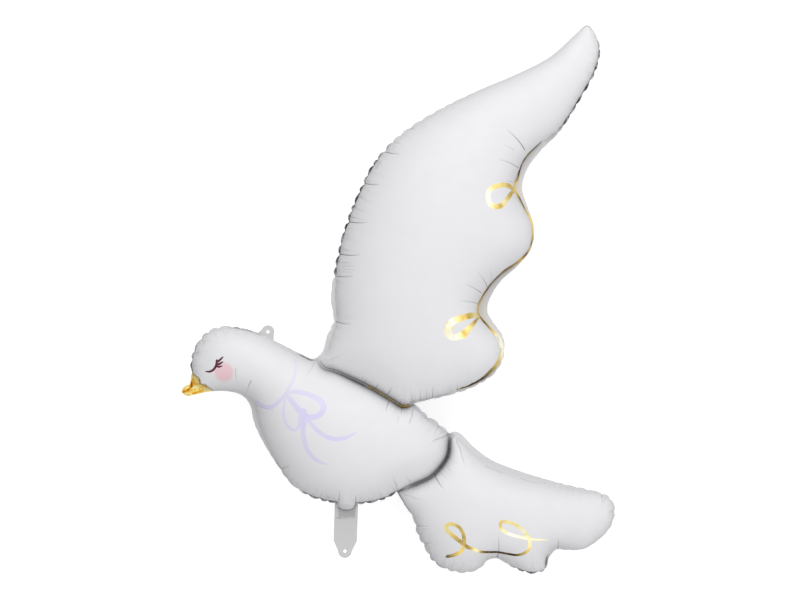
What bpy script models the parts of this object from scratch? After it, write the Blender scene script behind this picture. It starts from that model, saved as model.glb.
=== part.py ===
"""Dove foil balloon, lying face up: two sheets of film welded into a body, a wing and a tail."""
import bpy
import bmesh
import math
import numpy as np
from types import SimpleNamespace
from mathutils import Vector
from mathutils.geometry import delaunay_2d_cdt

# Driving sizes, in metres
BALLOON_HEIGHT = 0.850
WING_DEPTH = 0.150
BODY_DEPTH = 0.130
TAIL_DEPTH = 0.105

# The welds: a flat border round the outline and two lines inside it
BORDER_THICKNESS = 0.0010
BORDER_WIDTH = 0.0055
WELD_WIDTH = 0.0050

# The film puckers along its border, where a flat sheet has to turn round
PUCKER_SPACING = 0.038
PUCKER_DEPTH = 0.0040
PUCKER_SWELL = 0.35
PUCKER_UNEVENNESS = 0.22
PUCKER_RHYTHM = 2.4

# Each pucker ends in a pleat that runs in over the film
PLEAT_REACH = 0.026
PLEAT_WIDTH = 0.004
PLEAT_CUT = 0.16

# How far each chamber is pressed flat where it lies, and how wide its middle plane takes to settle
REST_FLAT_DEPTH = 0.004
LEVEL_BLEND = 0.045

# The tab for a ribbon above the neck
HANG_TAB_HALF_WIDTH = 0.0135
HANG_TAB_REACH = 0.0085
HANG_TAB_RADIUS = 0.0100
HANG_TAB_HOLE_RADIUS = 0.0027

# The tab under the belly that the balloon is filled through
FILL_TAB_HALF_WIDTH = 0.0180
FILL_TAB_LENGTH = 0.058
FILL_TAB_REACH = 0.074
FILL_TAB_RADIUS = 0.0105
FILL_TAB_HOLE_RADIUS = 0.0027
FILL_TAB_LEAN = math.radians(-1.5)

# Facets: along the border, in rows inside it, and over the open film
BORDER_STEP = 0.0096
ROW_DISTANCES = (0.0020, 0.0062, 0.0140, 0.0280)
ROW_SLACK = 0.0004
ROW_THINNING = 0.75
ROW_WIDENING = 0.55
OPEN_STEP = 0.022
CURVE_STEPS = 24
HOLE_SIDES = 12
LOBE_SIDES = 12
SHARP_ANGLE = math.radians(35.0)

# The outline, clockwise from the throat: across, up, and how strongly the border puckers there.
# Places are shares of the balloon's height, from the middle of its box.
BEAK = (
    (-0.351, -0.167, 0), (-0.369, -0.171, 0), (-0.384, -0.174, 0), (-0.393, -0.168, 0),
    (-0.393, -0.161, 0), (-0.387, -0.155, 0), (-0.379, -0.152, 0), (-0.377, -0.140, 0),
    (-0.375, -0.131, 0),
)
HEAD = (
    (-0.375, -0.131, 0), (-0.377, -0.116, 1), (-0.371, -0.089, 1), (-0.353, -0.062, 1),
    (-0.325, -0.048, 1), (-0.291, -0.049, 0.6), (-0.255, -0.059, 0.1), (-0.215, -0.078, 0),
    (-0.178, -0.097, 0), (-0.158, -0.106, 0), (-0.147, -0.104, 0),
)
WING = (
    (-0.147, -0.104, 0), (-0.136, -0.091, 0), (-0.129, -0.065, 0.5), (-0.117, -0.035, 0.8),
    (-0.122, 0.005, 0.5), (-0.115, 0.058, 1), (-0.100, 0.122, 1), (-0.076, 0.187, 1),
    (-0.042, 0.253, 1), (0.007, 0.304, 0.8), (0.071, 0.345, 0.5), (0.142, 0.380, 0.2),
    (0.215, 0.411, 0), (0.275, 0.442, 0), (0.318, 0.480, 0), (0.342, 0.500, 0),
    (0.358, 0.485, 0.4), (0.367, 0.455, 1), (0.358, 0.415, 1), (0.329, 0.362, 1),
    (0.295, 0.309, 0.5), (0.258, 0.271, 0), (0.235, 0.240, 0), (0.225, 0.205, 0),
    (0.235, 0.171, 0), (0.247, 0.133, 0.2), (0.242, 0.095, 0.2), (0.218, 0.064, 0),
    (0.187, 0.036, 0), (0.167, 0.005, 0), (0.162, -0.020, 0), (0.173, -0.040, 0.3),
    (0.191, -0.067, 0.5), (0.191, -0.104, 0.5), (0.171, -0.136, 0.5), (0.127, -0.161, 0.5),
    (0.076, -0.176, 0.4), (0.029, -0.187, 0),
)
BACK = (
    (0.029, -0.187, 0), (0.053, -0.209, 0.8), (0.076, -0.225, 0.8), (0.093, -0.242, 0.5),
)
TAIL = (
    (0.093, -0.242, 0), (0.102, -0.239, 0), (0.115, -0.244, 0), (0.140, -0.269, 0),
    (0.171, -0.291, 0), (0.213, -0.308, 0), (0.267, -0.325, 0.2), (0.313, -0.337, 0.5),
    (0.353, -0.346, 0.8), (0.382, -0.356, 0.9), (0.395, -0.378, 1), (0.389, -0.409, 0.5),
    (0.369, -0.433, 0.2), (0.340, -0.452, 0.2), (0.311, -0.455, 0.3), (0.289, -0.454, 0),
    (0.275, -0.469, 0), (0.269, -0.489, 0.7), (0.255, -0.496, 1), (0.235, -0.496, 1),
    (0.207, -0.485, 0.6), (0.182, -0.471, 0), (0.164, -0.473, 0), (0.149, -0.488, 0.4),
    (0.124, -0.496, 0.8), (0.091, -0.491, 0.9), (0.065, -0.476, 1), (0.049, -0.451, 1),
    (0.035, -0.424, 0.8), (0.027, -0.396, 0.6), (0.011, -0.371, 0.2), (-0.002, -0.349, 0),
)
BELLY = (
    (-0.002, -0.349, 0.5), (-0.027, -0.362, 1), (-0.069, -0.370, 1), (-0.115, -0.368, 1),
    (-0.156, -0.358, 1), (-0.193, -0.335, 0.9), (-0.222, -0.296, 0.5), (-0.247, -0.255, 0.2),
    (-0.262, -0.222, 0.2), (-0.269, -0.191, 0), (-0.285, -0.172, 0), (-0.311, -0.165, 0),
    (-0.336, -0.165, 0), (-0.351, -0.167, 0),
)

# The lines inside the outline: the two welds, and the edge of the gold beak
WING_WELD = (
    (-0.147, -0.104), (-0.136, -0.122), (-0.111, -0.130), (-0.084, -0.142), (-0.047, -0.160),
    (-0.013, -0.180), (0.009, -0.193), (0.029, -0.187),
)
TAIL_WELD = (
    (0.093, -0.242), (0.097, -0.260), (0.093, -0.282), (0.080, -0.304), (0.058, -0.322),
    (0.029, -0.335), (-0.002, -0.349),
)
BEAK_EDGE = (
    (-0.375, -0.131), (-0.366, -0.142), (-0.356, -0.151), (-0.345, -0.156), (-0.351, -0.167),
)

# Where the tabs grow out of the border, as shares of the height
HANG_TAB_ROOT = (-0.241, -0.066)
FILL_TAB_ROOT = (-0.094, -0.369)

# Finishes: base colour, metallic and roughness
PEARL_FILM = ((0.88, 0.88, 0.90, 1.0), 0.30, 0.36)
GOLD_FILM = ((0.83, 0.60, 0.22, 1.0), 0.90, 0.30)
TAB_FILM = ((0.78, 0.78, 0.79, 1.0), 0.0, 0.50)


def clear_scene():
    """Remove whatever the scene holds."""
    for old in list(bpy.data.objects):
        bpy.data.objects.remove(old, do_unlink=True)


def make_material(name, finish):
    """A plain material with one colour, metallic and roughness value."""
    colour, metallic, roughness = finish
    material = bpy.data.materials.new(name)
    material.use_nodes = True
    shader = material.node_tree.nodes["Principled BSDF"]
    shader.inputs["Base Color"].default_value = colour
    shader.inputs["Metallic"].default_value = metallic
    shader.inputs["Roughness"].default_value = roughness
    return material


def smooth_line(shares):
    """A Catmull-Rom curve through the points, as metres, with any pucker weight alongside."""
    points = np.array(shares, dtype=float)
    points[:, :2] *= BALLOON_HEIGHT
    before = 2 * points[:1] - points[1:2]
    after = 2 * points[-1:] - points[-2:-1]
    padded = np.vstack((before, points, after))
    curve = []
    for i in range(1, len(padded) - 2):
        p0, p1, p2, p3 = padded[i - 1:i + 3]
        for t in np.arange(CURVE_STEPS) / CURVE_STEPS:
            curve.append(0.5 * (2 * p1 + (p2 - p0) * t + (2 * p0 - 5 * p1 + 4 * p2 - p3) * t ** 2
                                + (3 * p1 - p0 - 3 * p2 + p3) * t ** 3))
    curve.append(points[-1])
    return np.array(curve)


def lengths_along(curve):
    """The distance of each point from the start, along the curve."""
    steps = np.linalg.norm(np.diff(curve[:, :2], axis=0), axis=1)
    return np.concatenate(([0.0], np.cumsum(steps)))


def read_at(curve, along, places):
    """The curve's columns at given distances from its start."""
    return np.column_stack([np.interp(places, along, column) for column in curve.T])


def inward(points):
    """Unit vectors that point to the right of the way the points run."""
    ways = np.gradient(points[:, :2], axis=0)
    ways /= np.linalg.norm(ways, axis=1)[:, None]
    return np.column_stack((ways[:, 1], -ways[:, 0]))


def puckered_run(shares):
    """One stretch of the outline, drawn in where it puckers, and each pleat's foot and strength."""
    curve = smooth_line(shares)
    along = lengths_along(curve)
    lobes = max(1, round(along[-1] / PUCKER_SPACING))
    sides = max(3, round(along[-1] / lobes / BORDER_STEP))
    counts = np.arange(lobes + 1)
    cusps = counts + PUCKER_UNEVENNESS * np.sin(PUCKER_RHYTHM * counts)
    cusps[[0, -1]] = 0.0, lobes
    turns = np.arange(lobes * sides + 1) / sides
    places = np.interp(turns, counts, cusps * along[-1] / lobes)
    across = np.abs(2.0 * (turns % 1.0) - 1.0)
    samples = read_at(curve, along, places)
    drawn_in = PUCKER_DEPTH * np.clip(samples[:, 2], 0.0, 1.0) * (across ** 2 - PUCKER_SWELL)
    line = samples[:, :2] + drawn_in[:, None] * inward(samples)
    pleats = np.column_stack((line, inward(samples), samples[:, 2]))[sides:-sides:sides]
    return line, pleats


def even_run(shares):
    """A smooth line through the points, in steps of the border's facets."""
    curve = smooth_line(shares)
    along = lengths_along(curve)
    count = max(2, round(along[-1] / BORDER_STEP))
    return read_at(curve, along, np.linspace(0.0, along[-1], count + 1))[:, :2]


def tab_outline(half_width, length, reach, radius):
    """A strip with a round lobe on its end, as (along the border, outward) pairs."""
    turns = np.linspace(math.pi, 0.0, LOBE_SIDES + 1)
    lobe = [(radius * math.cos(turn), reach + radius * math.sin(turn)) for turn in turns]
    return np.array([(-half_width, 0.0), (-half_width, length), *lobe,
                     (half_width, length), (half_width, 0.0)])


def tab_frame(outline, root, lean):
    """The tab's foot on the outline, with the ways along the border and outward there."""
    root = np.array(root) * BALLOON_HEIGHT
    nearest = int(np.argmin(np.linalg.norm(outline - root, axis=1)))
    span = outline[(nearest + 2) % len(outline)] - outline[nearest - 2]
    turn = math.atan2(span[1], span[0]) + lean
    way = np.array((math.cos(turn), math.sin(turn)))
    return root, way, np.array((-way[1], way[0]))


def add_tab(outline, frame, shape):
    """Put a tab into the outline, in place of the border between its two feet."""
    root, way, outward = frame
    placed = root + shape[:, :1] * way + shape[:, 1:] * outward
    offset = outline - root
    foot = abs(shape[0, 0])
    covered = np.abs(offset @ way) < foot + 0.3 * BORDER_STEP
    covered &= np.linalg.norm(offset, axis=1) < 3.0 * foot
    first = int(np.argmin(np.where(covered, offset @ way, np.inf)))
    turned = np.roll(outline, -first, axis=0)
    kept = turned[~np.roll(covered, -first)]
    return np.vstack((placed, kept))


def ring(centre, radius):
    """The corners of a round hole."""
    turns = 2.0 * math.pi * np.arange(HOLE_SIDES) / HOLE_SIDES
    return centre + radius * np.column_stack((np.cos(turns), np.sin(turns)))


def distance_to(points, line):
    """The distance of each point from a line of straight pieces."""
    starts, ways = line[:-1], np.diff(line, axis=0)
    squares = np.maximum((ways ** 2).sum(axis=1), 1e-12)
    gap = points[:, None, :] - starts[None, :, :]
    share = np.clip((gap * ways).sum(axis=2) / squares, 0.0, 1.0)
    return np.linalg.norm(gap - share[:, :, None] * ways, axis=2).min(axis=1)


def inside(points, loop):
    """Which points lie inside a closed loop."""
    x, y = points[:, :1], points[:, 1:]
    x1, y1 = loop[:, 0], loop[:, 1]
    x2, y2 = np.roll(x1, -1), np.roll(y1, -1)
    rise = np.where(y2 == y1, 1e-12, y2 - y1)
    crossed = ((y1 > y) != (y2 > y)) & (x < x1 + (y - y1) / rise * (x2 - x1))
    return crossed.sum(axis=1) % 2 == 1


def thin_out(points, spacing):
    """Drop each point that lies closer than the spacing to one kept before it."""
    kept = np.empty((0, 2))
    for point in points:
        if len(kept) == 0 or np.linalg.norm(kept - point, axis=1).min() >= spacing:
            kept = np.vstack((kept, point))
    return kept


def beside(lines, distance):
    """The lines that run at a distance inside each seam."""
    for line, half_width, both_sides in lines:
        shift = (half_width + distance) * inward(line)
        yield line + shift
        if both_sides:
            yield line - shift


def seam_lines(lines, room, distance):
    """Unbroken stretches at a distance inside the seams, cut where another seam is nearer."""
    stretches = []
    for row in beside(lines, distance):
        clear = room(row) > distance - ROW_SLACK
        stretch = []
        for point, is_clear in zip(row, clear):
            apart = np.linalg.norm(point - stretch[-1]) if stretch else BORDER_STEP
            if is_clear and apart < 0.4 * BORDER_STEP:
                continue
            if stretch and (not is_clear or apart > 2.5 * BORDER_STEP):
                stretches.append(np.array(stretch))
                stretch = []
            if is_clear:
                stretch.append(point)
        if stretch:
            stretches.append(np.array(stretch))
    return stretches


def open_points(lines, room, chambers):
    """Loose rows of points further in from the seams, and a wide grid between them."""
    rows = []
    for distance in ROW_DISTANCES[1:]:
        row = np.vstack(list(beside(lines, distance)))
        row = row[room(row) > distance - ROW_SLACK]
        row = row[np.any([inside(row, chamber) for chamber in chambers], axis=0)]
        rows.append(thin_out(row, ROW_THINNING * max(BORDER_STEP, ROW_WIDENING * distance)))
    reach = 0.5 * BALLOON_HEIGHT
    columns = np.arange(-reach, reach, OPEN_STEP)
    grid = np.array([(x + 0.5 * OPEN_STEP * (k % 2), y)
                     for k, y in enumerate(np.arange(-reach, reach, 0.87 * OPEN_STEP))
                     for x in columns])
    grid = grid[np.any([inside(grid, chamber) for chamber in chambers], axis=0)]
    grid = grid[room(grid) > ROW_DISTANCES[-1] + 0.5 * OPEN_STEP]
    return np.vstack((*rows, grid))


def film_sheet(outline, holes, inner_lines, free_points):
    """Lay out the flat sheet as triangles that follow the outline, the holes and the welds."""
    points, edges = [], []
    for line, closed in [(outline, True), *[(hole, True) for hole in holes],
                         *[(line, False) for line in inner_lines]]:
        start = len(points)
        points.extend(line)
        edges.extend((start + i, start + i + 1) for i in range(len(line) - 1))
        if closed:
            edges.append((start + len(line) - 1, start))
    points.extend(free_points)
    flat = delaunay_2d_cdt([Vector(point) for point in points], edges, [], 0, 1e-5)
    places = np.array([tuple(point) for point in flat[0]])
    triangles = np.array(flat[2])
    centres = places[triangles].mean(axis=1)
    kept = inside(centres, outline)
    for hole in holes:
        kept &= ~inside(centres, hole)
    triangles = triangles[kept]
    used = np.unique(triangles)
    renumbered = np.zeros(len(places), dtype=int)
    renumbered[used] = np.arange(len(used))
    return places[used], renumbered[triangles]


def blown_up(places, triangles, free):
    """How far an evenly pressed film rises: the root of the rise of a stretched membrane."""
    count = len(places)
    stiffness = np.zeros((count, count))
    load = np.zeros(count)
    corners = places[triangles]
    for k in range(3):
        a, b, c = (triangles[:, (k + i) % 3] for i in range(3))
        to_a = corners[:, k] - corners[:, (k + 2) % 3]
        to_b = corners[:, (k + 1) % 3] - corners[:, (k + 2) % 3]
        area = np.abs(to_a[:, 0] * to_b[:, 1] - to_a[:, 1] * to_b[:, 0])
        weight = 0.5 * (to_a * to_b).sum(axis=1) / np.maximum(area, 1e-12)
        for one, other, sign in ((a, a, 1), (b, b, 1), (a, b, -1), (b, a, -1)):
            np.add.at(stiffness, (one, other), sign * weight)
        np.add.at(load, c, area / 6.0)
    rise = np.zeros(count)
    rise[free] = np.linalg.solve(stiffness[np.ix_(free, free)], load[free])
    return np.sqrt(np.maximum(rise, 0.0))


def settle(distance):
    """A share that falls smoothly from one on a weld to none where the blend ends."""
    share = np.clip(1.0 - distance / LEVEL_BLEND, 0.0, 1.0)
    return share * share * (3.0 - 2.0 * share)


def pleat_share(points, pleats):
    """How much of a pleat each point takes part in: one at its foot, none past its reach."""
    offset = points[:, None, :] - pleats[None, :, :2]
    ways = pleats[:, 2:4]
    inwards = (offset * ways).sum(axis=2)
    across = offset[:, :, 0] * ways[:, 1] - offset[:, :, 1] * ways[:, 0]
    share = np.clip(1.0 - np.abs(inwards) / PLEAT_REACH, 0.0, 1.0)
    return (pleats[:, 4] * share * np.exp(-(across / PLEAT_WIDTH) ** 2)).max(axis=1)


def cut_pattern():
    """The flat pattern: the outline's runs, the lines inside it and the loops they close."""
    runs, pleats = {}, []
    for name, shares in (("beak", BEAK), ("head", HEAD), ("wing", WING), ("back", BACK),
                         ("tail", TAIL), ("belly", BELLY)):
        runs[name], feet = puckered_run(shares)
        pleats.append(feet)
    wing_weld, tail_weld, beak_edge = (even_run(s) for s in (WING_WELD, TAIL_WELD, BEAK_EDGE))
    outline = np.vstack([run[:-1] for run in runs.values()])
    body = (runs["beak"], runs["head"], wing_weld, runs["back"], tail_weld, runs["belly"])
    return SimpleNamespace(
        outline=outline,
        border=np.vstack((outline, outline[:1])),
        pleats=np.vstack(pleats),
        wing_weld=wing_weld,
        tail_weld=tail_weld,
        beak_edge=beak_edge,
        wing=np.vstack((runs["wing"], wing_weld[-2:0:-1])),
        tail=np.vstack((runs["tail"], tail_weld[-2:0:-1])),
        body=np.vstack([run[:-1] for run in body]),
        beak=np.vstack((runs["beak"], beak_edge[1:-1])),
    )


def room_inside(pattern, points):
    """How far inside the nearest seam each point lies."""
    return np.minimum.reduce((distance_to(points, pattern.border) - BORDER_WIDTH,
                              distance_to(points, pattern.wing_weld) - 0.5 * WELD_WIDTH,
                              distance_to(points, pattern.tail_weld) - 0.5 * WELD_WIDTH))


def outside_by(pattern, points):
    """How far each point lies outside the wing, the tail and the body, one row for each."""
    return np.array([np.where(inside(points, loop), 0.0,
                              distance_to(points, np.vstack((loop, loop[:1]))))
                     for loop in (pattern.wing, pattern.tail, pattern.body)])


def add_tabs(outline):
    """The outline with both tabs, and the ribbon hole in each."""
    rim, holes = outline, []
    for root, lean, hole_radius, half_width, length, reach, radius in (
            (HANG_TAB_ROOT, 0.0, HANG_TAB_HOLE_RADIUS, HANG_TAB_HALF_WIDTH, 0.0,
             HANG_TAB_REACH, HANG_TAB_RADIUS),
            (FILL_TAB_ROOT, FILL_TAB_LEAN, FILL_TAB_HOLE_RADIUS, FILL_TAB_HALF_WIDTH,
             FILL_TAB_LENGTH, FILL_TAB_REACH, FILL_TAB_RADIUS)):
        frame = tab_frame(outline, root, lean)
        rim = add_tab(rim, frame, tab_outline(half_width, length, reach, radius))
        holes.append(ring(frame[0] + reach * frame[2], hole_radius))
    return rim, holes


def lay_out_film(pattern, rim, holes):
    """The flat film as points and triangles, finest along its seams."""
    def room(points):
        return room_inside(pattern, points)

    seams = ((pattern.border, BORDER_WIDTH, False),
             (pattern.wing_weld, 0.5 * WELD_WIDTH, True),
             (pattern.tail_weld, 0.5 * WELD_WIDTH, True))
    inner_lines = (pattern.wing_weld[1:-1], pattern.tail_weld[1:-1], pattern.beak_edge[1:-1],
                   *seam_lines(seams, room, 0.0), *seam_lines(seams, room, ROW_DISTANCES[0]))
    chambers = (pattern.wing, pattern.tail, pattern.body)
    return film_sheet(rim, holes, inner_lines, open_points(seams, room, chambers))


def film_heights(pattern, places, triangles):
    """The lower and upper film's heights: a chamber swells evenly from its own middle plane."""
    gaps = outside_by(pattern, places)
    raised = (room_inside(pattern, places) > 0.4 * ROW_DISTANCES[0]) & (gaps.min(axis=0) == 0.0)
    rise = blown_up(places, triangles, np.flatnonzero(raised))
    pleated = 1.0 - PLEAT_CUT * pleat_share(places, pattern.pleats)
    half = np.full(len(places), 0.5 * BORDER_THICKNESS)
    level = np.empty(len(places))
    for number, depth in enumerate((WING_DEPTH, TAIL_DEPTH, BODY_DEPTH)):
        chamber = gaps.argmin(axis=0) == number
        full = 0.5 * (depth - BORDER_THICKNESS)
        half[chamber] += full * rise[chamber] / rise[chamber].max() * pleated[chamber]
        level[chamber] = 0.5 * depth - REST_FLAT_DEPTH
    for weld, depth in ((pattern.wing_weld, WING_DEPTH), (pattern.tail_weld, TAIL_DEPTH)):
        shared = 0.25 * (depth + BODY_DEPTH) - REST_FLAT_DEPTH
        level += settle(distance_to(places, weld)) * (shared - level)
    return np.maximum(level - half, 0.0), level + half


def join_films(places, triangles, lower, upper):
    """Both films as one closed body: the flat film, extruded and then blown up to its heights."""
    bm = bmesh.new()
    point = bm.verts.layers.int.new("point")
    for i, (x, y) in enumerate(places):
        bm.verts.new((x, y, 0.0))[point] = i
    bm.verts.ensure_lookup_table()
    for corners in triangles:
        bm.faces.new([bm.verts[i] for i in corners])
    raised = bmesh.ops.extrude_face_region(bm, geom=bm.faces[:], use_keep_orig=True)
    upper_film = {item for item in raised["geom"] if isinstance(item, bmesh.types.BMVert)}
    for vert in bm.verts:
        vert.co.z = (upper if vert in upper_film else lower)[vert[point]]
    bmesh.ops.recalc_face_normals(bm, faces=bm.faces[:])
    return bm


def paint(bm, pattern):
    """Give the beak its gold and leave both tabs bare."""
    centres = np.array([tuple(face.calc_center_median().xy) for face in bm.faces])
    gold = inside(centres, pattern.beak)
    white = outside_by(pattern, centres).min(axis=0) == 0.0
    for face, is_gold, is_white in zip(bm.faces, gold, white):
        face.material_index = 1 if is_gold else 0 if is_white else 2


def make_envelope(collection):
    """The whole balloon: one film envelope with three chambers, its border and both tabs."""
    pattern = cut_pattern()
    rim, holes = add_tabs(pattern.outline)
    places, triangles = lay_out_film(pattern, rim, holes)
    lower, upper = film_heights(pattern, places, triangles)
    bm = join_films(places, triangles, lower, upper)
    paint(bm, pattern)
    middle = 0.5 * (rim.min(axis=0) + rim.max(axis=0))
    bmesh.ops.translate(bm, verts=bm.verts[:], vec=(-middle[0], -middle[1], 0.0))
    mesh = bpy.data.meshes.new("foil_envelope")
    bm.to_mesh(mesh)
    bm.free()
    mesh.materials.append(make_material("pearl_film", PEARL_FILM))
    mesh.materials.append(make_material("gold_film", GOLD_FILM))
    mesh.materials.append(make_material("tab_film", TAB_FILM))
    mesh.shade_smooth()
    mesh.set_sharp_from_angle(angle=SHARP_ANGLE)
    envelope = bpy.data.objects.new("foil_envelope", mesh)
    collection.objects.link(envelope)


def main():
    clear_scene()
    collection = bpy.data.collections.new("dove_foil_balloon")
    bpy.context.scene.collection.children.link(collection)
    make_envelope(collection)


main()
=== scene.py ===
"""Dresses the dove foil balloon: one printed film envelope, blown up between its welds, lying face up."""
import math
import bpy
import numpy as np
from types import SimpleNamespace
from bpy.props import FloatProperty, FloatVectorProperty, PointerProperty
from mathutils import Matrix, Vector
from mathutils.geometry import delaunay_2d_cdt
from mathutils.kdtree import KDTree


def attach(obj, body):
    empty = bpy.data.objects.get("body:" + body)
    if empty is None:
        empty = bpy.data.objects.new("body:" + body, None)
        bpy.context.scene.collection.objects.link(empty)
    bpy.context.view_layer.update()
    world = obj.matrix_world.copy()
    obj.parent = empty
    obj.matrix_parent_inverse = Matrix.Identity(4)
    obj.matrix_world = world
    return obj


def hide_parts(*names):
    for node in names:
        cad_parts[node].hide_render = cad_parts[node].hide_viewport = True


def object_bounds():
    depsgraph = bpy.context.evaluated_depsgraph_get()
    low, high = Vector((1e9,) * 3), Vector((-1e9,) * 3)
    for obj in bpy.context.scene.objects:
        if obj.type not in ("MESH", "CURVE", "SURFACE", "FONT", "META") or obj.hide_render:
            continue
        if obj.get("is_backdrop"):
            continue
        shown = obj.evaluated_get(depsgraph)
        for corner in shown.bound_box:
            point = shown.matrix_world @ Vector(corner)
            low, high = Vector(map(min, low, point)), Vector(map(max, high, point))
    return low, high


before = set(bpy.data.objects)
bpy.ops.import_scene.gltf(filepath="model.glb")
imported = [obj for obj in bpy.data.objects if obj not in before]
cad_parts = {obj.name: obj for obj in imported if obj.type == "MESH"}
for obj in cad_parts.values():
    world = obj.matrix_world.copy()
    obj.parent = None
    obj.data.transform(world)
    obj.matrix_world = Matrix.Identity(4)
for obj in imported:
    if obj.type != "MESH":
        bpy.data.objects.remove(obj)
CAD_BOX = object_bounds()

bl_info = {
    "name": "Dove Foil Balloon",
    "version": (1, 0, 0),
    "blender": (4, 5, 0),
    "location": "3D View > Sidebar > Dove Balloon",
    "description": "Makes a dove foil balloon with its welds, puckers and prints, and a pale stage",
    "category": "Add Mesh",
}

NODE = "foil_envelope"

# The photograph's frame: its middle, and the balloon's middle and height in it, in pixels
PHOTO_CENTRE = (400.0, 300.0)
PHOTO_WIDTH = 800.0
BALLOON_CENTRE = (398.0, 300.0)
BALLOON_PIXELS = 550.0

# The outline, clockwise from the throat: across and up as shares of the height, then how strongly
# the border puckers there, and how wide it shows as a share of the border's width
BEAK = (
    (-0.351, -0.167, 0, 0.4), (-0.369, -0.171, 0, 0.3), (-0.384, -0.174, 0, 0.3),
    (-0.393, -0.168, 0, 0.3), (-0.393, -0.161, 0, 0.3), (-0.387, -0.155, 0, 0.3),
    (-0.379, -0.152, 0, 0.3), (-0.377, -0.140, 0, 0.3), (-0.375, -0.131, 0, 0.4),
)
HEAD = (
    (-0.375, -0.131, 0, 0.4), (-0.377, -0.116, 1, 0.3), (-0.371, -0.089, 1, 0.3),
    (-0.353, -0.062, 1, 0.3), (-0.325, -0.048, 1, 0.3), (-0.291, -0.049, 0.6, 0.4),
    (-0.255, -0.059, 0.1, 0.4), (-0.215, -0.078, 0, 0.4), (-0.178, -0.097, 0, 0.5),
    (-0.158, -0.106, 0, 0.6), (-0.147, -0.104, 0, 0.8),
)
WING = (
    (-0.147, -0.104, 0, 0.8), (-0.136, -0.091, 0, 1.2), (-0.129, -0.065, 0.3, 1.2),
    (-0.117, -0.035, 0.5, 0.8), (-0.122, 0.005, 0.1, 1.2), (-0.115, 0.058, 1, 0.5),
    (-0.100, 0.122, 1, 0.42), (-0.076, 0.187, 1, 0.42), (-0.042, 0.253, 1, 0.40),
    (0.007, 0.304, 0.8, 0.3), (0.071, 0.345, 0.5, 0.3), (0.142, 0.380, 0.2, 0.3),
    (0.215, 0.411, 0, 0.3), (0.275, 0.442, 0, 0.3), (0.318, 0.480, 0, 0.3),
    (0.342, 0.500, 0, 0.3), (0.358, 0.485, 0.3, 0.3), (0.367, 0.455, 0.6, 0.42),
    (0.358, 0.415, 0.7, 0.48), (0.329, 0.362, 0.7, 0.48), (0.295, 0.309, 0.4, 0.7),
    (0.258, 0.271, 0, 1.6), (0.235, 0.240, 0, 1.8), (0.225, 0.205, 0, 2.0),
    (0.235, 0.171, 0, 1.2), (0.247, 0.133, 0.2, 0.4), (0.242, 0.095, 0.2, 0.35),
    (0.218, 0.064, 0, 0.6), (0.187, 0.036, 0, 1.2), (0.167, 0.005, 0, 2.0),
    (0.162, -0.020, 0, 2.4), (0.173, -0.040, 0, 2.0), (0.191, -0.067, 0.4, 1.2),
    (0.191, -0.104, 0.5, 0.6), (0.171, -0.136, 0.5, 0.6), (0.127, -0.161, 0.5, 0.8),
    (0.076, -0.176, 0.4, 0.6), (0.029, -0.187, 0, 0.6),
)
BACK = (
    (0.029, -0.187, 0, 0.6), (0.053, -0.209, 0.8, 0.4), (0.076, -0.225, 0.8, 0.4),
    (0.093, -0.242, 0.5, 0.6),
)
TAIL = (
    (0.093, -0.242, 0, 0.8), (0.102, -0.239, 0, 1.0), (0.115, -0.244, 0, 1.6),
    (0.140, -0.269, 0, 1.5), (0.171, -0.291, 0, 1.3), (0.213, -0.308, 0, 1.4),
    (0.267, -0.325, 0.2, 1.0), (0.313, -0.337, 0.5, 0.8), (0.353, -0.346, 0.6, 0.4),
    (0.382, -0.356, 0.7, 0.35), (0.395, -0.378, 0.7, 0.3), (0.389, -0.409, 0.4, 0.3),
    (0.369, -0.433, 0.2, 0.3), (0.340, -0.452, 0.2, 0.3), (0.311, -0.455, 0.3, 0.5),
    (0.289, -0.454, 0, 0.9), (0.275, -0.469, 0, 0.8), (0.269, -0.489, 0.7, 0.4),
    (0.255, -0.496, 1, 0.35), (0.235, -0.496, 1, 0.35), (0.207, -0.485, 0.6, 0.4),
    (0.182, -0.471, 0, 0.7), (0.164, -0.473, 0, 0.6), (0.149, -0.488, 0.4, 0.4),
    (0.124, -0.496, 0.8, 0.3), (0.091, -0.491, 0.9, 0.3), (0.065, -0.476, 1, 0.3),
    (0.049, -0.451, 1, 0.3), (0.035, -0.424, 0.8, 0.3), (0.027, -0.396, 0.6, 0.3),
    (0.011, -0.371, 0.2, 0.3), (-0.002, -0.349, 0, 0.5),
)
BELLY = (
    (-0.002, -0.349, 0.5, 0.5), (-0.027, -0.362, 1, 0.4), (-0.069, -0.370, 1, 0.4),
    (-0.115, -0.368, 1, 0.4), (-0.156, -0.358, 0.9, 0.4), (-0.193, -0.335, 0.55, 0.35),
    (-0.222, -0.296, 0.2, 0.4), (-0.247, -0.255, 0.2, 0.8), (-0.262, -0.222, 0.2, 1.3),
    (-0.269, -0.191, 0, 1.2), (-0.285, -0.172, 0, 0.5), (-0.311, -0.165, 0, 0.3),
    (-0.336, -0.165, 0, 0.3), (-0.351, -0.167, 0, 0.4),
)
RUNS = (("body", BEAK), ("body", HEAD), ("wing", WING), ("body", BACK), ("tail", TAIL), ("body", BELLY))

# The two welds inside the outline: across and up as shares of the height, then how strong the painted
# shade on the weld and in the valley beside it is there
WING_WELD = (
    (-0.147, -0.104, 0.1), (-0.136, -0.122, 0.5), (-0.111, -0.130, 0.65), (-0.084, -0.142, 0.84),
    (-0.047, -0.160, 0.93), (-0.013, -0.180, 0.93), (0.009, -0.193, 0.97), (0.029, -0.187, 0.4),
)
TAIL_WELD = (
    (0.093, -0.242, 0.2), (0.0935, -0.256, 0.9), (0.0905, -0.282, 1), (0.078, -0.303, 0.85),
    (0.058, -0.322, 0.6), (0.029, -0.335, 0.6), (0.018, -0.339, 0.25), (-0.002, -0.349, 0.1),
)

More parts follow.
